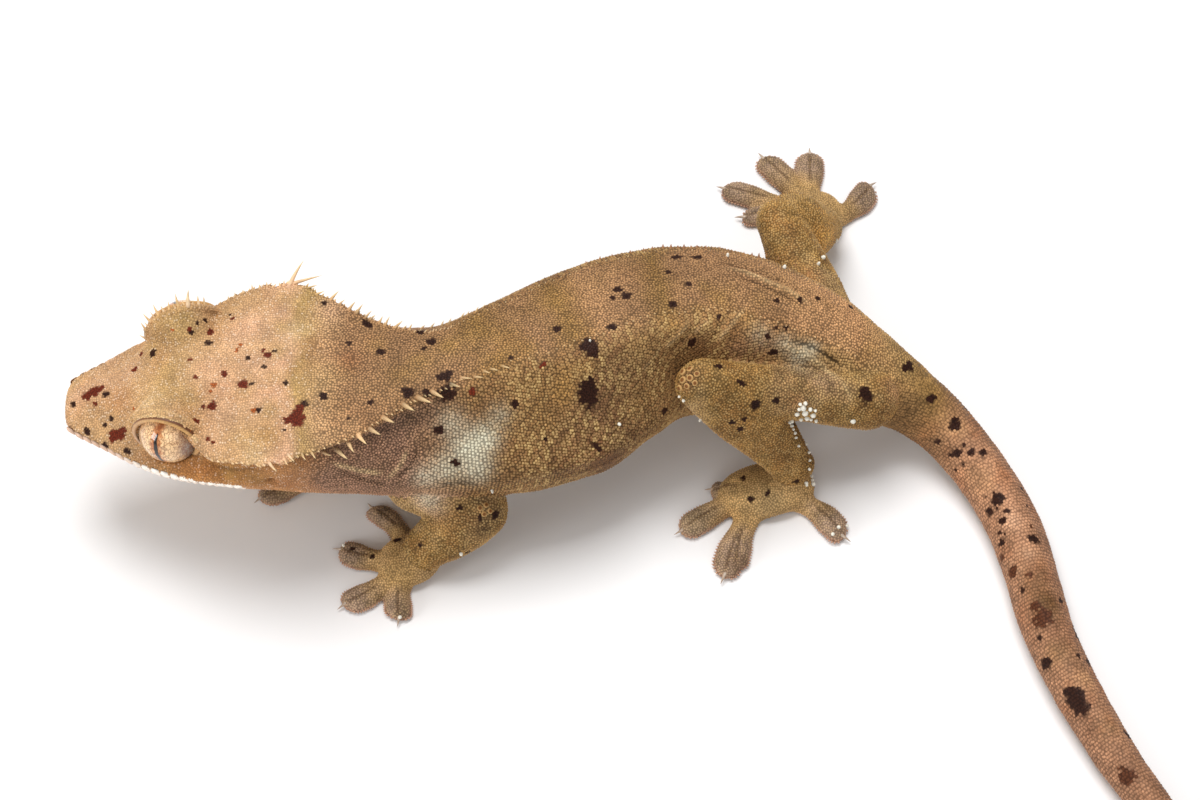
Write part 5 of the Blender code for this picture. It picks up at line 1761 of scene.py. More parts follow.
FAR_KNOBS = (
    (588, 268, 587, 265, 0.18), (600, 266, 600, 262, 0.2), (612, 262, 612, 259, 0.16),
    (632, 256, 631, 253, 0.16), (645, 253, 644, 250, 0.18), (654, 252, 653, 249, 0.22),
    (663, 251, 663, 247, 0.24), (671, 250, 671, 246, 0.26), (678, 250, 678, 247, 0.22),
    (684, 250, 684, 246, 0.24), (691, 250, 691, 247, 0.18), (697, 249, 697, 246, 0.22),
    (706, 250, 706, 247, 0.16), (720, 251, 720, 248, 0.16), (744, 254, 744, 251, 0.18),
    (752, 257, 752, 253, 0.24), (759, 260, 759, 255, 0.24), (767, 263, 767, 258, 0.26),
    (776, 266, 777, 263, 0.18), (793, 273, 794, 270, 0.18), (806, 281, 807, 278, 0.16),
)


def at_edge(photo, spike):
    """The spike slid along its own direction until its root is just inside the skin's outline."""
    run_x, run_y = spike.tip_x - spike.root_x, spike.tip_y - spike.root_y
    long = math.hypot(run_x, run_y)
    for step in np.arange(8, -8, -0.5):
        share = step / long
        if photo.on_skin(spike.root_x + run_x * share, spike.root_y + run_y * share) is not None:
            share -= 1 / long
            x, y = run_x * share, run_y * share
            return Spike(spike.root_x + x, spike.root_y + y, spike.tip_x + x, spike.tip_y + y, spike.radius)
    return spike


def photo_spines(photo, spikes, flat, tip_colour, longer):
    """Spines that stand where the photograph shows them. Flat ones lie level, others face the camera side on.

    longer is how much longer than in the photograph they are made.
    """
    rows = []
    normal = Vector((0, 0, 1)) if flat else LOOK
    for spike in (Spike(*row) for row in spikes):
        if not flat:
            spike = at_edge(photo, spike)
        x, y = spike.root_x, spike.root_y
        root = photo.on_skin_near(x, y, x + 2.5 * (x - spike.tip_x), y + 2.5 * (y - spike.tip_y))
        if root is None:
            continue
        tip = photo.on_plane(spike.tip_x, spike.tip_y, root, normal)
        way = tip - root
        length = np.linalg.norm(way)
        way = way / length
        if flat:
            way = way + np.array((0, 0, 0.12))
        bend = np.array((0.16, 0.0, 0.0)) - way * 0.16 * way[0]
        thick = spike.radius * (1 + longer) / 2
        rows.append((root - way * 0.06, way - bend * 0.8, bend, length * longer, thick, tip_colour))
    return rows


COMB_START = 20.8
COMB_END = 108
NECK_END = 52


def crest_spines(photo, draw):
    """Both combs: the spines seen in the photograph, and small ones between and beyond them."""
    pale = CREAM * 1.12
    rows = photo_spines(photo, FAR_SPIKES, False, pale, 1.15)
    rows += photo_spines(photo, NEAR_SPIKES, True, pale, 1.05)
    rows += photo_spines(photo, FAR_LASHES, False, CREAM * 0.95, 1.25)
    rows += photo_spines(photo, FAR_KNOBS, False, tone(150, 92, 52), 1.3)
    for side_sign, _ in SIDES:
        d = COMB_START
        while d < COMB_END:
            centre, tangent, side, up = arrays_at(d)
            section = section_at(d)
            strong = 1.0 if d < NECK_END else 0.55
            length = draw.uniform(0.3, 0.55) * strong
            root = centre + side * ((section.crest - draw.uniform(0.0, 0.7)) * side_sign)
            root = root + up * (section.top - section.crest_drop - 0.05)
            found = photo.tree.find_nearest(root)
            if found[3] < 0.9:
                root = np.array(found[0]) - np.array(found[1]) * 0.03
                direction = side * side_sign * 0.9 + up * 0.6 + tangent * draw.uniform(0.3, 0.9)
                rows.append((root, direction, tangent * 0.1, length, 0.13 + 0.06 * strong, CREAM))
            d += draw.uniform(0.5, 0.8) if d < NECK_END else draw.uniform(0.8, 1.4)
    return rows


def near_lashes(draw):
    """Short lashes over both eyes, on the fold above the lid."""
    rows = []
    for side_sign, _ in SIDES:
        point, axes = eye_frame(side_sign)
        axes = np.array(axes)
        for i in range(22):
            angle = math.radians(-62 + 130 * i / 21 + draw.uniform(-3, 3))
            foot = np.array((math.sin(angle) * LID_LONG, math.cos(angle) * LID_TALL, 0.0))
            foot = foot * (LID_RADIUS + LID_FOLD)
            root = np.array(point) + axes @ (foot + np.array((0, 0, lid_plane(foot[1]) - 0.9)))
            out = np.array((math.sin(angle), math.cos(angle), 0.15 if side_sign == LEFT else -0.25))
            length = draw.uniform(0.35, 0.6) if side_sign == LEFT else draw.uniform(0.5, 0.8)
            rows.append((root, axes @ out, axes @ np.array((0.1, 0, 0)), length, 0.17, TAN * 1.1))
    return rows


def in_skin_colours(rows, field, painter):
    """The rows as spines whose roots have the skin's colour."""
    roots = np.array([row[0] for row in rows])
    directions = np.array([row[1] for row in rows])
    middle, _, _ = painter.paint(field.describe(roots), unit(directions))
    return [Spine(*row[:5], middle[i], row[5]) for i, row in enumerate(rows)]


def toe_outline(leg, toe, shares):
    """Centre, half width and sideways direction of a toe at the shares of its length."""
    start, end, sideways = toe_line(leg, toe)
    length = np.linalg.norm(end - start)
    half = toe_sizes(toe, shares)[:, 0]
    bow = toe.bend * length * np.sin(math.pi * shares)
    centres = start + np.outer(shares, end - start) + np.outer(bow, sideways)
    return centres, half, sideways


FRINGE_LENGTH = 0.32
FRINGE_RADIUS = 0.17
FRINGE_PINK = tone(214, 168, 150) * LEVEL
CLAW_LENGTH = 1.75
CLAW_RADIUS = 0.32
CLAW_PALE = tone(214, 198, 180) * 0.9
CLAW_DARK = tone(150, 120, 95)


def toe_fringe():
    """Fine points along both edges of every pad."""
    rows = []
    bend = np.array((0.01, 0.02, 0.0))
    for leg, toe in all_toes():
        centres, half, sideways = toe_outline(leg, toe, np.linspace(0.42, 0.97, 18))
        for centre, reach in zip(centres, half):
            for sign in (-1, 1):
                root = centre + sideways * (sign * (reach - 0.12)) + np.array((0, 0, 0.35))
                out = sideways * sign + np.array((0, 0, -0.15))
                rows.append((root, out, bend, FRINGE_LENGTH, FRINGE_RADIUS, FRINGE_PINK))
    return rows


def claw_rows():
    rows = []
    bend = np.array((0, 0, -0.34))
    for leg, toe in all_toes():
        start, end, _ = toe_line(leg, toe)
        along = (end - start) / np.linalg.norm(end - start)
        root = end - along * 0.75 + np.array((0, 0, 0.72))
        way = along + np.array((0, 0, 0.12))
        rows.append(Spine(root, way, bend, CLAW_LENGTH, CLAW_RADIUS, CLAW_PALE, CLAW_DARK))
    return rows


def labials():
    """The row of broad scales along each lip, as (points, outward, length way) domes."""
    rows = []
    for side_sign, _ in SIDES:
        for row, sign in ((0.72, 1), (-0.8, -1)):
            d = 0.9
            while d < 24.5:
                section = section_at(d)
                centre, tangent, side, up = arrays_at(d)
                height = section.mouth + row
                across = belly_side(section, height) - (0.12 if sign < 0 else 0.02)
                after = section_at(d + 0.5)
                a_next = belly_side(after, after.mouth + row)
                way = tangent * 0.5 + side * side_sign * (a_next - across)
                way /= np.linalg.norm(way)
                place = centre + side * (across * side_sign) + up * height
                slope = (belly_side(section, height - 0.2) - belly_side(section, height + 0.2)) / 0.4
                out = np.cross(way, up) * side_sign
                if out @ (side * side_sign) < 0:
                    out = -out
                out = out + up * slope
                out /= np.linalg.norm(out)
                grow = 1.0 + 0.3 * min(max((d - 6) / 6, 0), 1)
                length = (0.68 - 0.008 * d) * (grow if sign > 0 else 1.0)
                rows.append((place, out, way, length, 0.62 * grow if sign > 0 else 0.5, d, sign))
                d += length * 1.75
    return rows


def labial_mesh(field):
    verts, faces, colours, roots = [], [], [], []
    rings = ((0.0, 0.32), (0.5, 0.28), (0.82, 0.17), (1.0, -0.06))
    sides = 16
    for place, out, way, long, tall, d, sign in labials():
        up = np.cross(out, way)
        first = len(verts)
        share = step_up(d, 6, 13) * (1.0 if sign > 0 else 0.6)
        pale = LIP_PINK * (1 - share) + LIP_WHITE * 1.15 * share
        verts.append(place + out * 0.26)
        colours.append(pale)
        roots.append(place)
        for reach, lift in rings[1:]:
            for i in range(sides):
                turn = 2 * math.pi * i / sides
                x = math.copysign(abs(math.cos(turn)) ** 0.6, math.cos(turn)) * long * reach
                y = math.copysign(abs(math.sin(turn)) ** 0.7, math.sin(turn)) * tall * reach
                verts.append(place + way * x + up * y + out * lift * 0.8)
                colours.append(pale * (1.0 if reach < 0.9 else 0.5))
                roots.append(place)
        for i in range(sides):
            faces.append((first, first + 1 + i, first + 1 + (i + 1) % sides))
            for level in range(2):
                a = first + 1 + level * sides + i
                b = first + 1 + level * sides + (i + 1) % sides
                faces.append((a, a + sides, b + sides, b))
    verts = np.array(verts)
    obj = write_mesh("lip_scales", verts, faces)
    set_colours(obj.data, "tint", np.array(colours))
    roots = np.array(roots)
    unwrap = field.describe(roots)["unwrap"]
    set_unwrap(obj.data, unwrap + PATCH * (verts - roots)[:, :2])
    obj.data.shade_smooth()
    return obj


def weld(obj, reach):
    """Joins the points that lie closer together than reach, and smooths the mesh."""
    merge = obj.modifiers.new("merge", "WELD")
    merge.merge_threshold = reach
    obj.data = evaluated_mesh(obj)
    obj.modifiers.clear()
    obj.data.shade_smooth()


def lid_object(side_sign, side_name):
    """The fine rim of skin round an eye: a golden band above and behind, a thin pale one below."""
    around, across = 180, 20
    lined = 1.0 if side_sign == LEFT else 0.15

    def upper(angle):
        return 0.5 + 0.5 * math.cos(angle - 0.8)

    def thick(angle):
        return 0.20 + 0.34 * upper(angle) ** 0.8

    def radius(angle):
        return LID_RADIUS + 0.02 * upper(angle)

    rings = lid_rings(side_sign, radius, thick, lambda a: 0.05, around, across)
    verts = rings.reshape(-1, 3)
    faces, colours = [], []
    gold, brown = tone(216, 166, 108) * LEVEL, tone(104, 60, 36) * LEVEL
    for i in range(around + 1):
        angle = 2 * math.pi * i / around
        share = upper(angle) ** 0.5
        band = LIP_PINK * 0.9 * (1 - share) + gold * share
        dark = brown * share + ROSE * (1 - share)
        for k in range(across):
            turn = 2 * math.pi * k / across
            # The outer side of the rim, in the crease against the skin, is a dark line of painted shade, and
            # its inner side is darkened with painted shade.
            outer = step_up(math.cos(turn), 0.45, 0.8) * lined
            inner = step_up(-math.cos(turn), 0.6, 0.95)
            colour = band * (1 - outer) + dark * outer
            notch = 1 + 0.16 * math.sin(64 * angle + 3 * turn) * share * lined
            colours.append(colour * (1 - 0.35 * inner) * notch)
    for i in range(around):
        for k in range(across):
            a, b = i * across + k, i * across + (k + 1) % across
            faces.append((a, b, b + across, a + across))
    obj = write_mesh(f"lid_{side_name}", verts, faces)
    set_colours(obj.data, "tint", np.clip(np.array(colours), 0, 1))
    grid = np.meshgrid(np.linspace(0, 1, around + 1), np.linspace(0, 1, across), indexing="ij")
    corner = np.array((0.7, 0.05 if side_sign == LEFT else 0.12))
    set_unwrap(obj.data, corner + np.stack(grid, axis=-1).reshape(-1, 2) * np.array((0.25, 0.05)))
    weld(obj, 0.0005)
    return obj


def eye_object(side_sign, side_name):
    """An eyeball with a low cornea. Its own coordinates are kept for the iris."""
    segments, rings = 96, 64
    local, faces = [], []
    for i in range(rings + 1):
        polar = math.pi * i / rings
        bulge = 0.16 * math.exp(-((polar / 0.75) ** 2))
        r = EYE_RADIUS + bulge - 0.03
        for k in range(segments):
            turn = 2 * math.pi * k / segments
            x = r * math.sin(polar) * math.cos(turn)
            y = r * math.sin(polar) * math.sin(turn)
            local.append((x, y, r * math.cos(polar)))
    for i in range(rings):
        for k in range(segments):
            a, b = i * segments + k, i * segments + (k + 1) % segments
            first, second = (a, b) if side_sign == LEFT else (b, a)
            faces.append((first, first + segments, second + segments, second))
    local = np.array(local)
    obj = write_mesh(f"eyeball_{side_name}", in_eye_frame(side_sign, local), faces)
    layer = obj.data.attributes.new("eye_place", "FLOAT_VECTOR", "POINT")
    layer.data.foreach_set("vector", (local / EYE_RADIUS).astype(np.float32).ravel())
    weld(obj, 0.001)
    return obj


def rgba(colour):
    return (*colour, 1.0)


class Nodes:
    """A new material, and short ways to add nodes to it."""

    def __init__(self, name):
        self.material = bpy.data.materials.new(name)
        self.material.use_nodes = True
        self.shader = self.material.node_tree.nodes["Principled BSDF"]

    def put(self, node, inputs):
        """Fills the node's inputs: an output of another node is linked, and a value is set."""
        for key, value in inputs.items():
            if isinstance(value, bpy.types.NodeSocket):
                self.material.node_tree.links.new(value, node.inputs[key])
            else:
                node.inputs[key].default_value = value
        return node

    def add(self, kind, inputs, **settings):
        node = self.material.node_tree.nodes.new(kind)
        for name, value in settings.items():
            setattr(node, name, value)
        return self.put(node, inputs)

    def finish(self, inputs):
        self.put(self.shader, inputs)
        return self.material

    def place(self):
        return self.add("ShaderNodeTexCoord", {}).outputs["Object"]

    def painted(self, layer):
        return self.add("ShaderNodeVertexColor", {}, layer_name=layer).outputs["Color"]

    def attribute(self, name, output):
        return self.add("ShaderNodeAttribute", {}, attribute_name=name).outputs[output]

    def noise(self, place, size, detail):
        return self.add("ShaderNodeTexNoise", {"Scale": size, "Detail": detail, "Vector": place})

    def ranged(self, value, inputs, **settings):
        return self.add("ShaderNodeMapRange", {"Value": value, **inputs}, **settings).outputs["Result"]

    def vector(self, operation, inputs):
        return self.add("ShaderNodeVectorMath", inputs, operation=operation).outputs[0]

    def math(self, operation, *values):
        return self.add("ShaderNodeMath", dict(enumerate(values)), operation=operation).outputs[0]

    def blend(self, share, one, other):
        node = self.add("ShaderNodeMix", {"Factor": share, "A": one, "B": other}, data_type="RGBA")
        return node.outputs["Result"]

    def bump(self, height, strength, distance, invert=False):
        inputs = {"Strength": strength, "Distance": distance, "Height": height}
        return self.add("ShaderNodeBump", inputs, invert=invert).outputs["Normal"]

    def ramp(self, value, *stops):
        node = self.add("ShaderNodeValToRGB", {"Fac": value})
        elements = node.color_ramp.elements
        while len(elements) < len(stops):
            elements.new(0.5)
        for element, (position, colour) in zip(elements, stops):
            element.position = position
            element.color = rgba(colour)
        return node.outputs["Color"]

    def speckled(self, colour, place, size, low, high):
        """(the colour with a fine unevenness of its strength from low to high, the noise itself)."""
        grain = self.noise(place, size, 3).outputs["Fac"]
        limits = {"From Min": 0.3, "From Max": 0.7, "To Min": low, "To Max": high}
        return self.vector("SCALE", {0: colour, "Scale": self.ranged(grain, limits)}), grain


def granular_material(name, in_domes, bump, roughness, speckle):
    """The painted tint, broken up finely. Domes go from their rim's colour to their middle's."""
    nodes = Nodes(name)
    tint = nodes.painted("tint")
    if in_domes:
        rise = nodes.attribute("rise", "Fac")
        share = nodes.ranged(rise, {"From Min": 0.24, "From Max": 0.55}, interpolation_type="SMOOTHSTEP")
        tint = nodes.blend(share, nodes.painted("rim"), tint)
    place = nodes.place()
    colour, _ = nodes.speckled(tint, place, 2600, 1 - speckle, 1 + speckle)
    cells = nodes.add("ShaderNodeTexVoronoi", {"Scale": 3200, "Vector": place}, feature="F1")
    normal = nodes.bump(cells.outputs["Distance"], bump, 0.00012, invert=True)
    return nodes.finish(
        {"Base Color": colour, "Normal": normal, "Roughness": roughness, "Specular IOR Level": 0.12}
    )


def slit(nodes, place, x, y):
    """(distance from the pupil's middle line, inside of the pupil, inside of the dark ring round it)."""
    wobble = nodes.noise(place, 5.0, 3).outputs["Fac"]
    shaken = nodes.math("MULTIPLY_ADD", wobble, 0.08, -0.04)
    # The slit leans back at the bottom and bows forwards, and narrows towards its ends.
    middle = nodes.math("ADD", y, 0.08)
    bowed = nodes.math("MULTIPLY", nodes.math("MULTIPLY", middle, middle), 0.26)
    leaning = nodes.math("MULTIPLY_ADD", y, 0.087, 0.107)
    across = nodes.math("SUBTRACT", nodes.math("ADD", x, leaning), bowed)
    side = nodes.math("ABSOLUTE", nodes.math("ADD", across, shaken))
    tall = nodes.math("MULTIPLY", middle, 1.55)
    taper = nodes.math("SUBTRACT", 1.0, nodes.math("MULTIPLY", tall, tall))
    narrowed = nodes.math("SQRT", nodes.math("MAXIMUM", taper, 0.0))
    inside = nodes.math("LESS_THAN", side, nodes.math("MULTIPLY", narrowed, 0.032))
    ring = nodes.math("LESS_THAN", side, nodes.math("MULTIPLY", narrowed, 0.062))
    return side, inside, ring


def veins(nodes, place, patches):
    """How strongly the veins show, which run mostly up and down."""
    stretched = nodes.vector("MULTIPLY", {0: place, 1: (5.2, 2.1, 3.0)})
    bent = nodes.vector("SCALE", {0: patches.outputs["Color"], "Scale": 0.9})
    warped = nodes.vector("ADD", {0: stretched, 1: bent})
    cells = nodes.add("ShaderNodeTexVoronoi", {"Scale": 2.2, "Vector": warped}, feature="DISTANCE_TO_EDGE")
    vein = nodes.ramp(cells.outputs["Distance"], (0.0, (1, 1, 1)), (0.06, (0.5, 0.5, 0.5)), (0.13, (0, 0, 0)))
    return nodes.math("MULTIPLY", vein, 0.85)


def eye_material():
    """A finely veined iris in cream, orange and grey, with an upright slit for a pupil, under a wet gloss."""
    nodes = Nodes("eye_gloss")
    place = nodes.attribute("eye_place", "Vector")
    parts = nodes.add("ShaderNodeSeparateXYZ", {"Vector": place}).outputs
    x, y = parts["X"], parts["Y"]
    side, inside, ring = slit(nodes, place, x, y)
    # Warm orange near the slit, cream further out, grey at the rear.
    patches = nodes.noise(place, 7.5, 5)
    spread = nodes.math("ADD", side, nodes.math("MULTIPLY", patches.outputs["Fac"], 0.45))
    colour = nodes.ramp(
        spread,
        (0.22, tone(166, 92, 40)),
        (0.34, tone(208, 144, 92)),
        (0.46, tone(250, 212, 160)),
        (0.80, tone(244, 202, 152)),
        (1.0, tone(180, 150, 120)),
    )
    rear = nodes.math("MULTIPLY_ADD", y, -0.35, x)
    greyed = nodes.ramp(rear, (0.66, (0, 0, 0)), (0.9, (0.7, 0.7, 0.7)))
    colour = nodes.blend(greyed, colour, rgba(tone(132, 134, 136)))
    colour = nodes.blend(veins(nodes, place, patches), colour, rgba(tone(120, 60, 34)))
    flecks = nodes.noise(place, 26, 2).outputs["Fac"]
    fleck = nodes.ramp(flecks, (0.60, (0, 0, 0)), (0.70, (0.8, 0.8, 0.8)))
    colour = nodes.blend(fleck, colour, rgba(tone(170, 104, 62)))
    colour = nodes.blend(ring, colour, rgba(tone(44, 30, 20)))
    colour = nodes.blend(inside, colour, (0.005, 0.003, 0.002, 1.0))
    # Painted shade: the eyeball darkens where it goes under the lids.
    squares = nodes.math("ADD", nodes.math("MULTIPLY", x, x), nodes.math("MULTIPLY", y, y))
    edge = nodes.ramp(nodes.math("SQRT", squares), (0.82, (0, 0, 0)), (0.93, (0.85, 0.85, 0.85)))
    colour = nodes.blend(edge, colour, rgba(tone(84, 56, 42)))
    normal = nodes.bump(patches.outputs["Fac"], 0.15, 0.0001)
    gloss = {"Roughness": 0.4, "Specular IOR Level": 0.1, "Coat Weight": 1.0, "Coat Roughness": 0.04}
    return nodes.finish({"Base Color": colour, "Normal": normal, **gloss})


def horn_material(name, roughness):
    nodes = Nodes(name)
    colour, grain = nodes.speckled(nodes.painted("tint"), nodes.place(), 1800, 0.84, 1.14)
    normal = nodes.bump(grain, 0.2, 0.00005)
    return nodes.finish(
        {"Base Color": colour, "Normal": normal, "Roughness": roughness, "Specular IOR Level": 0.35}
    )


def floor_material():
    nodes = Nodes("floor_white")
    cloud = nodes.noise(nodes.place(), 6, 2).outputs["Fac"]
    colour = nodes.ramp(cloud, (0.0, (0.86, 0.85, 0.85)), (1.0, (0.90, 0.89, 0.89)))
    return nodes.finish({"Base Color": colour, "Roughness": 0.6})


def make_skin(shell):
    """One skin from the whole shell, fused."""
    whole = write_mesh("skin", np.vstack(shell.points), shell.faces)
    fuse = whole.modifiers.new("fuse", "REMESH")
    fuse.mode = "VOXEL"
    fuse.voxel_size = VOXEL
    fuse.adaptivity = 0.0
    whole.data = evaluated_mesh(whole)
    whole.modifiers.clear()
    return whole


def socket(points, side_sign):
    """Sinks what lies inside an eyeball's opening to a cup behind it."""
    point, axes = eye_frame(side_sign)
    axes = np.array(axes)
    local = (points - np.array(point)) @ axes
    reach = EYE_RADIUS + 0.06
    across = np.hypot(local[:, 0], local[:, 1])
    inside = (np.linalg.norm(local, axis=1) < reach) & (across < reach - 0.01)
    local[inside, 2] = -np.sqrt(reach**2 - across[inside] ** 2)
    moved = local @ axes.T + np.array(point)
    return np.where(inside[:, None], moved, points)


def skin_tree(points, corners):
    return BVHTree.FromPolygons(points.tolist(), corners.tolist())


def put_points(mesh, points):
    mesh.vertices.foreach_set("co", points.astype(np.float32).ravel())
    mesh.update()


def shape_skin(skin, field):
    """Softens the skin, and adds its folds, creases and small unevenness."""
    points = mesh_points(skin.data)
    edges = mesh_edges(skin.data)
    points = relax(points, edges, 3, 0.5)
    here = field.describe(points)
    body = here["part"] == BODY
    # Behind the neck the crest is only a soft edge, and the tail is round.
    at_crest = np.hypot(np.abs(here["out"]) - here["crest"], here["high"] - here["crest_high"])
    soft = np.exp(-((at_crest / 2.4) ** 2)) * step_up(here["along"], 54, 66) * (here["along"] < 125)
    soft = np.maximum(soft, step_up(here["along"], 112, 124) * step_up(here["width"], 1.2, 2.4))
    points = relax(points, edges, 45, 0.5 * (soft * body)[:, None])
    put_points(skin.data, points)
    normals = mesh_normals(skin.data)
    corners = mesh_corners(skin.data)
    photo = Photo(skin_tree(points, corners))
    folds = fold_paths(photo)
    relief = fold_shading_and_relief(points, folds)[1]
    relief -= 0.22 * toe_creases(points) * (normals[:, 2] > 0.2) * (points[:, 2] < 2.2)
    relief += 0.10 * noise(points, 4.0, 21) + 0.05 * noise(points, 1.7, 22) + 0.02 * noise(points, 0.9, 23)
    relief[here["part"] == LID] *= 0.3
    for centre, radius, height in pits():
        distance = np.linalg.norm(points - centre, axis=1)
        relief += height * np.exp(-((distance / radius) ** 2))
    points = points + normals * relief[:, None]
    for side_sign, _ in SIDES:
        points = socket(points, side_sign)
    points[:, 2] = np.maximum(points[:, 2], 0.0)
    put_points(skin.data, points)
    return Photo(skin_tree(points, corners)), folds, here, corners


def pits():
    """(centre, radius, height) of the swelling round each nostril, of its pit and of the ear's pit."""
    found = []
    for side_sign, _ in SIDES:
        centre, _, side, up = arrays_at(NOSTRIL_D)
        section = section_at(NOSTRIL_D)
        place = centre + side * (section.width * 0.84 * side_sign) + up * (section.flank + 1.0)
        found += [(place, 1.1, 0.22), (place, 0.42, -0.75)]
        centre, _, side, up = arrays_at(EAR_D)
        section = section_at(EAR_D)
        place = centre + side * (section.width * 0.98 * side_sign) + up * 1.6
        found += [(place, 1.9, 0.2), (place, 0.85, -1.1)]
    return found


def to_frame(obj, shift):
    obj.data.transform(Matrix.Translation(shift) @ Matrix.Diagonal((MM, MM, MM, 1)))
    obj.data.update()


def finish_piece(obj, shift, material):
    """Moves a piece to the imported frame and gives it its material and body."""
    to_frame(obj, shift)
    obj.data.materials.clear()
    obj.data.materials.append(material)
    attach(obj, "root")


class Coat(NamedTuple):
    """What the scales lie on, and how they are painted and written."""

    skin: bpy.types.Object
    corners: np.ndarray
    field: Field
    painter: Painter
    photo: Photo
    material: bpy.types.Material
    shift: Vector


def in_pieces(name, domes, order, outline, seed, coat, rings=CONE):
    """Writes scales as joined meshes that stay under the limit for one piece."""
    sides, square = outline
    pieces = max(1, math.ceil(len(order) * sides / MOST_TRIANGLES))
    for i, chosen in enumerate(np.array_split(order, pieces)):
        part = Domes(*(values[chosen] for values in domes))
        obj = scale_mesh(f"scales_{name}_{i + 1}", part, sides, square, seed + i, rings)
        finish_piece(obj, coat.shift, coat.material)


def scattered_scales(coat, number):
    """One class of the granular scales that lie at random."""
    kind = SCALES[number]
    points, outward = scatter(coat.skin, number, kind.spacing)
    high = points[:, 2] > CLEAR_OF_FLOOR
    points, outward = points[high], outward[high]
    here = coat.field.describe(points)
    middle, rim, _ = coat.painter.paint(here, outward)
    radius = np.full(len(points), kind.spacing * kind.cover)
    height = np.full(len(points), kind.height)
    ways = random_ways(outward, 300 + number)
    domes = Domes(points, outward, ways, radius, radius, height, middle, rim, here["unwrap"])
    in_pieces(kind.name, domes, np.argsort(here["along"], kind="stable"), SIX_SIDED, 100 * number, coat)


def scales_in_rows(coat):
    """The granular scales of the flank, the belly and the tail."""
    points, ways = row_points()
    points, outward, ways = snapped(points, ways, coat.photo.tree, coat.corners, mesh_normals(coat.skin.data))
    here = coat.field.describe(points)
    middle, rim, size = coat.painter.paint(here, outward)
    free = (points[:, 2] > CLEAR_OF_FLOOR) & (here["part"] == BODY)
    for number in IN_ROWS:
        kind = SCALES[number]
        order = np.nonzero(free & (size == number))[0]
        on_tail = number == TAIL_SCALES
        long = np.full(len(points), (TAIL_PITCH if on_tail else ROW_SPACING) * kind.cover)
        wide = np.full(len(points), (TAIL_SPACING if on_tail else ROW_SPACING) * kind.cover)
        height = np.full(len(points), kind.height)
        domes = Domes(points, outward, ways, long, wide, height, middle, rim, here["unwrap"])
        in_pieces(kind.name, domes, order, SQUARE if on_tail else SIX_SIDED, 100 * number, coat)


def raised_scales(coat, name, table, height, tip, edge):
    """Raised scales where the photograph has them."""
    normals = mesh_normals(coat.skin.data)
    points, outward, radii = [], [], []
    for x, y, radius in table:
        place = coat.photo.on_skin_near(x, y, PHOTO_SIZE[0] / 2, PHOTO_SIZE[1] / 2)
        if place is None:
            continue
        near, _, face, _ = coat.photo.tree.find_nearest(place)
        points.append(near)
        outward.append(normals[coat.corners[face]].mean(axis=0))
        radii.append(radius * PIXEL)
    outward, radii = unit(np.array(outward)), np.array(radii)
    points = np.array(points) + outward * 0.06
    colours = [np.broadcast_to(colour, points.shape) for colour in (tip, edge)]
    heights = np.full(len(points), height)
    unwrap = coat.field.describe(points)["unwrap"]
    domes = Domes(points, outward, random_ways(outward, 7), radii, radii, heights, *colours, unwrap)
    in_pieces(name, domes, np.arange(len(points)), ROUND, 900, coat, DOME)


def make_scales(coat):
    for number in SCATTERED:
        scattered_scales(coat, number)
    scales_in_rows(coat)
    raised_scales(coat, "white", WHITE_SPOTS, 0.36, WHITE_MARK * 0.95, WHITE_MARK * 0.85)
    raised_scales(coat, "knee", KNEE_SPOTS, 0.18, tone(124, 80, 46) * LEVEL, tone(196, 154, 104) * LEVEL)


def make_camera(shift):
    data = bpy.data.cameras.new("photo_camera")
    camera = bpy.data.objects.new("photo_camera", data)
    bpy.context.scene.collection.objects.link(camera)
    data.sensor_width = 36
    data.lens = 36 * CAMERA_DISTANCE / CAMERA_FIELD
    data.clip_start = 0.01
    camera.location = shift + (CAMERA_TARGET - LOOK * CAMERA_DISTANCE) * MM
    camera.rotation_mode = "QUATERNION"
    camera.rotation_quaternion = LOOK.to_track_quat("-Z", "Y")
    bpy.context.scene.camera = camera


def make_light(name, place, size, power, target, colour=(1, 1, 1)):
    data = bpy.data.lights.new(name, "AREA")
    data.shape = "RECTANGLE"
    data.size = size[0]
    data.size_y = size[1]
    data.energy = power
    data.color = colour
    light = bpy.data.objects.new(name, data)
    bpy.context.scene.collection.objects.link(light)
    light.location = place
    light.rotation_mode = "QUATERNION"
    light.rotation_quaternion = (Vector(target) - Vector(place)).to_track_quat("-Z", "Y")


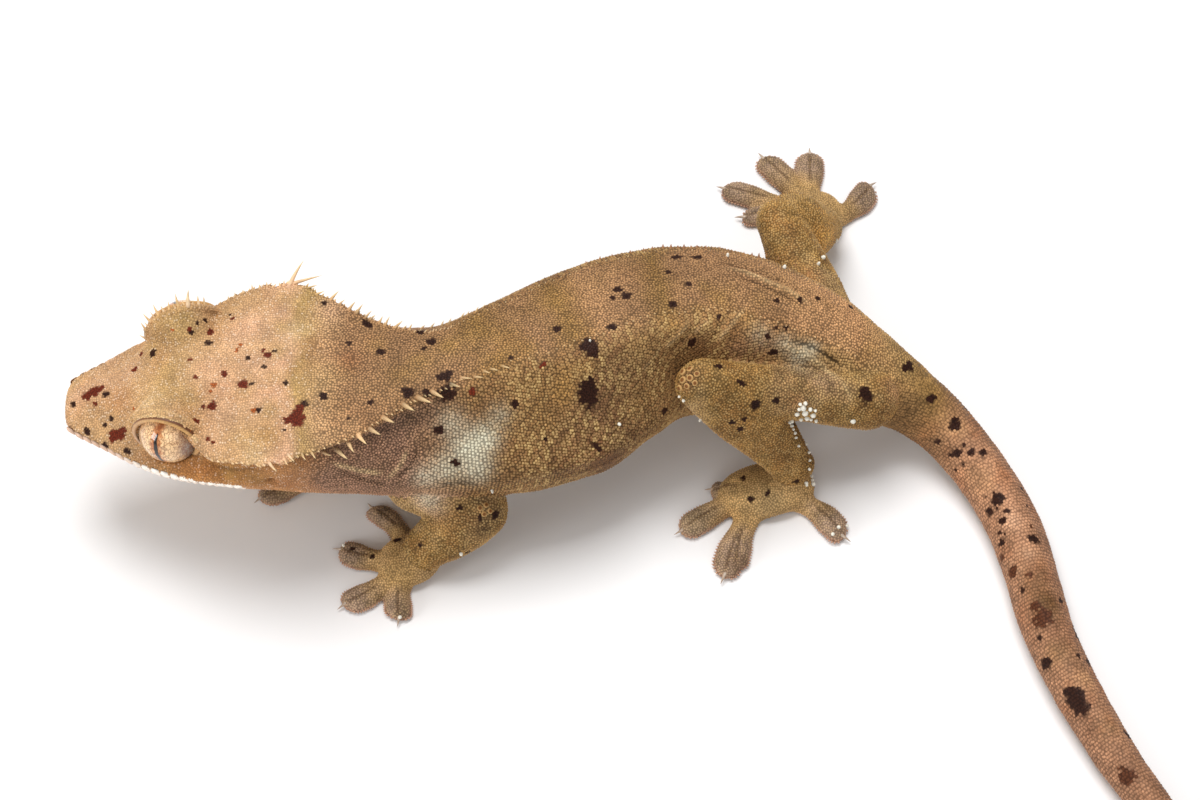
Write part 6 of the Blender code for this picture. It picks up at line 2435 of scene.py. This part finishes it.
def make_studio():
    floor = write_mesh("floor", np.array(((-3, -3, 0), (3, -3, 0), (3, 3, 0), (-3, 3, 0))), [(0, 1, 2, 3)])
    floor.location.z = -0.0002
    floor.data.materials.append(floor_material())
    make_light("key", (-0.08, 0.2, 0.62), (0.4, 0.4), 3.8, (0, 0, 0.01))
    make_light("front", (0.1, -0.6, 0.45), (0.6, 0.4), 0.8, (0, 0, 0.01))
    make_light("window", (-0.475, -0.245, 0.18), (0.16, 0.21), 0.95, (-0.07, 0, 0.025))
    world = bpy.data.worlds.new("studio")
    world.use_nodes = True
    background = world.node_tree.nodes["Background"]
    background.inputs["Color"].default_value = (1.0, 0.99, 0.98, 1)
    background.inputs["Strength"].default_value = 0.42
    bpy.context.scene.world = world
    bpy.context.scene.view_settings.view_transform = "Standard"


def make_horn(field, painter, photo, shift):
    """Both combs, the lashes, the fringes of the pads, the claws and the lip scales."""
    horn = horn_material("spine_skin", 0.5)
    draw = random.Random(3)
    combs = in_skin_colours(crest_spines(photo, draw) + near_lashes(draw), field, painter)
    fringe = in_skin_colours(toe_fringe(), field, painter)
    finish_piece(cones("spines", combs, 8, 5, field), shift, horn)
    finish_piece(cones("toe_fringe", fringe, 5, 2, field), shift, horn)
    claws = cones("claws", claw_rows(), 10, 8, field)
    finish_piece(claws, shift, horn_material("claw_horn", 0.3))
    finish_piece(labial_mesh(field), shift, horn_material("lip_skin", 0.4))


def make_eyes(shift):
    gloss = eye_material()
    lid_skin = horn_material("lid_skin", 0.45)
    for side_sign, side_name in SIDES:
        finish_piece(lid_object(side_sign, side_name), shift, lid_skin)
        eye = eye_object(side_sign, side_name)
        finish_piece(eye, shift, gloss)
        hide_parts(f"eye_{side_name}")


def main():
    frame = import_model()
    low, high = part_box("eye_left")
    shift = (low + high) / 2 - eye_frame(LEFT)[0] * MM

    shell = gather_shell()
    field = Field(shell)
    skin = make_skin(shell)
    photo, folds, here, corners = shape_skin(skin, field)
    painter = Painter(photo, folds)
    _, rim, size = painter.paint(here, mesh_normals(skin.data))
    # The skin between the scales takes the rims' colour, darker still: painted shade in the gaps.
    set_colours(skin.data, "tint", rim * 0.8)
    layer = skin.data.attributes.new("scale_class", "FLOAT", "POINT")
    layer.data.foreach_set("value", size.astype(np.float32))
    skin.data.shade_smooth()

    under = granular_material("skin_grain", False, 0.5, 0.6, 0.15)
    scaly = granular_material("scale_skin", True, 0.12, 0.5, 0.10)
    make_scales(Coat(skin, corners, field, painter, photo, scaly, shift))
    make_horn(field, painter, photo, shift)

    skin.data.attributes.remove(skin.data.attributes["scale_class"])
    finish_piece(skin, shift, under)
    flesh = [name for name in frame["nodes"] if not name.startswith("eye_")]
    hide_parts(*flesh)
    make_eyes(shift)

    make_camera(shift)
    make_studio()


main()
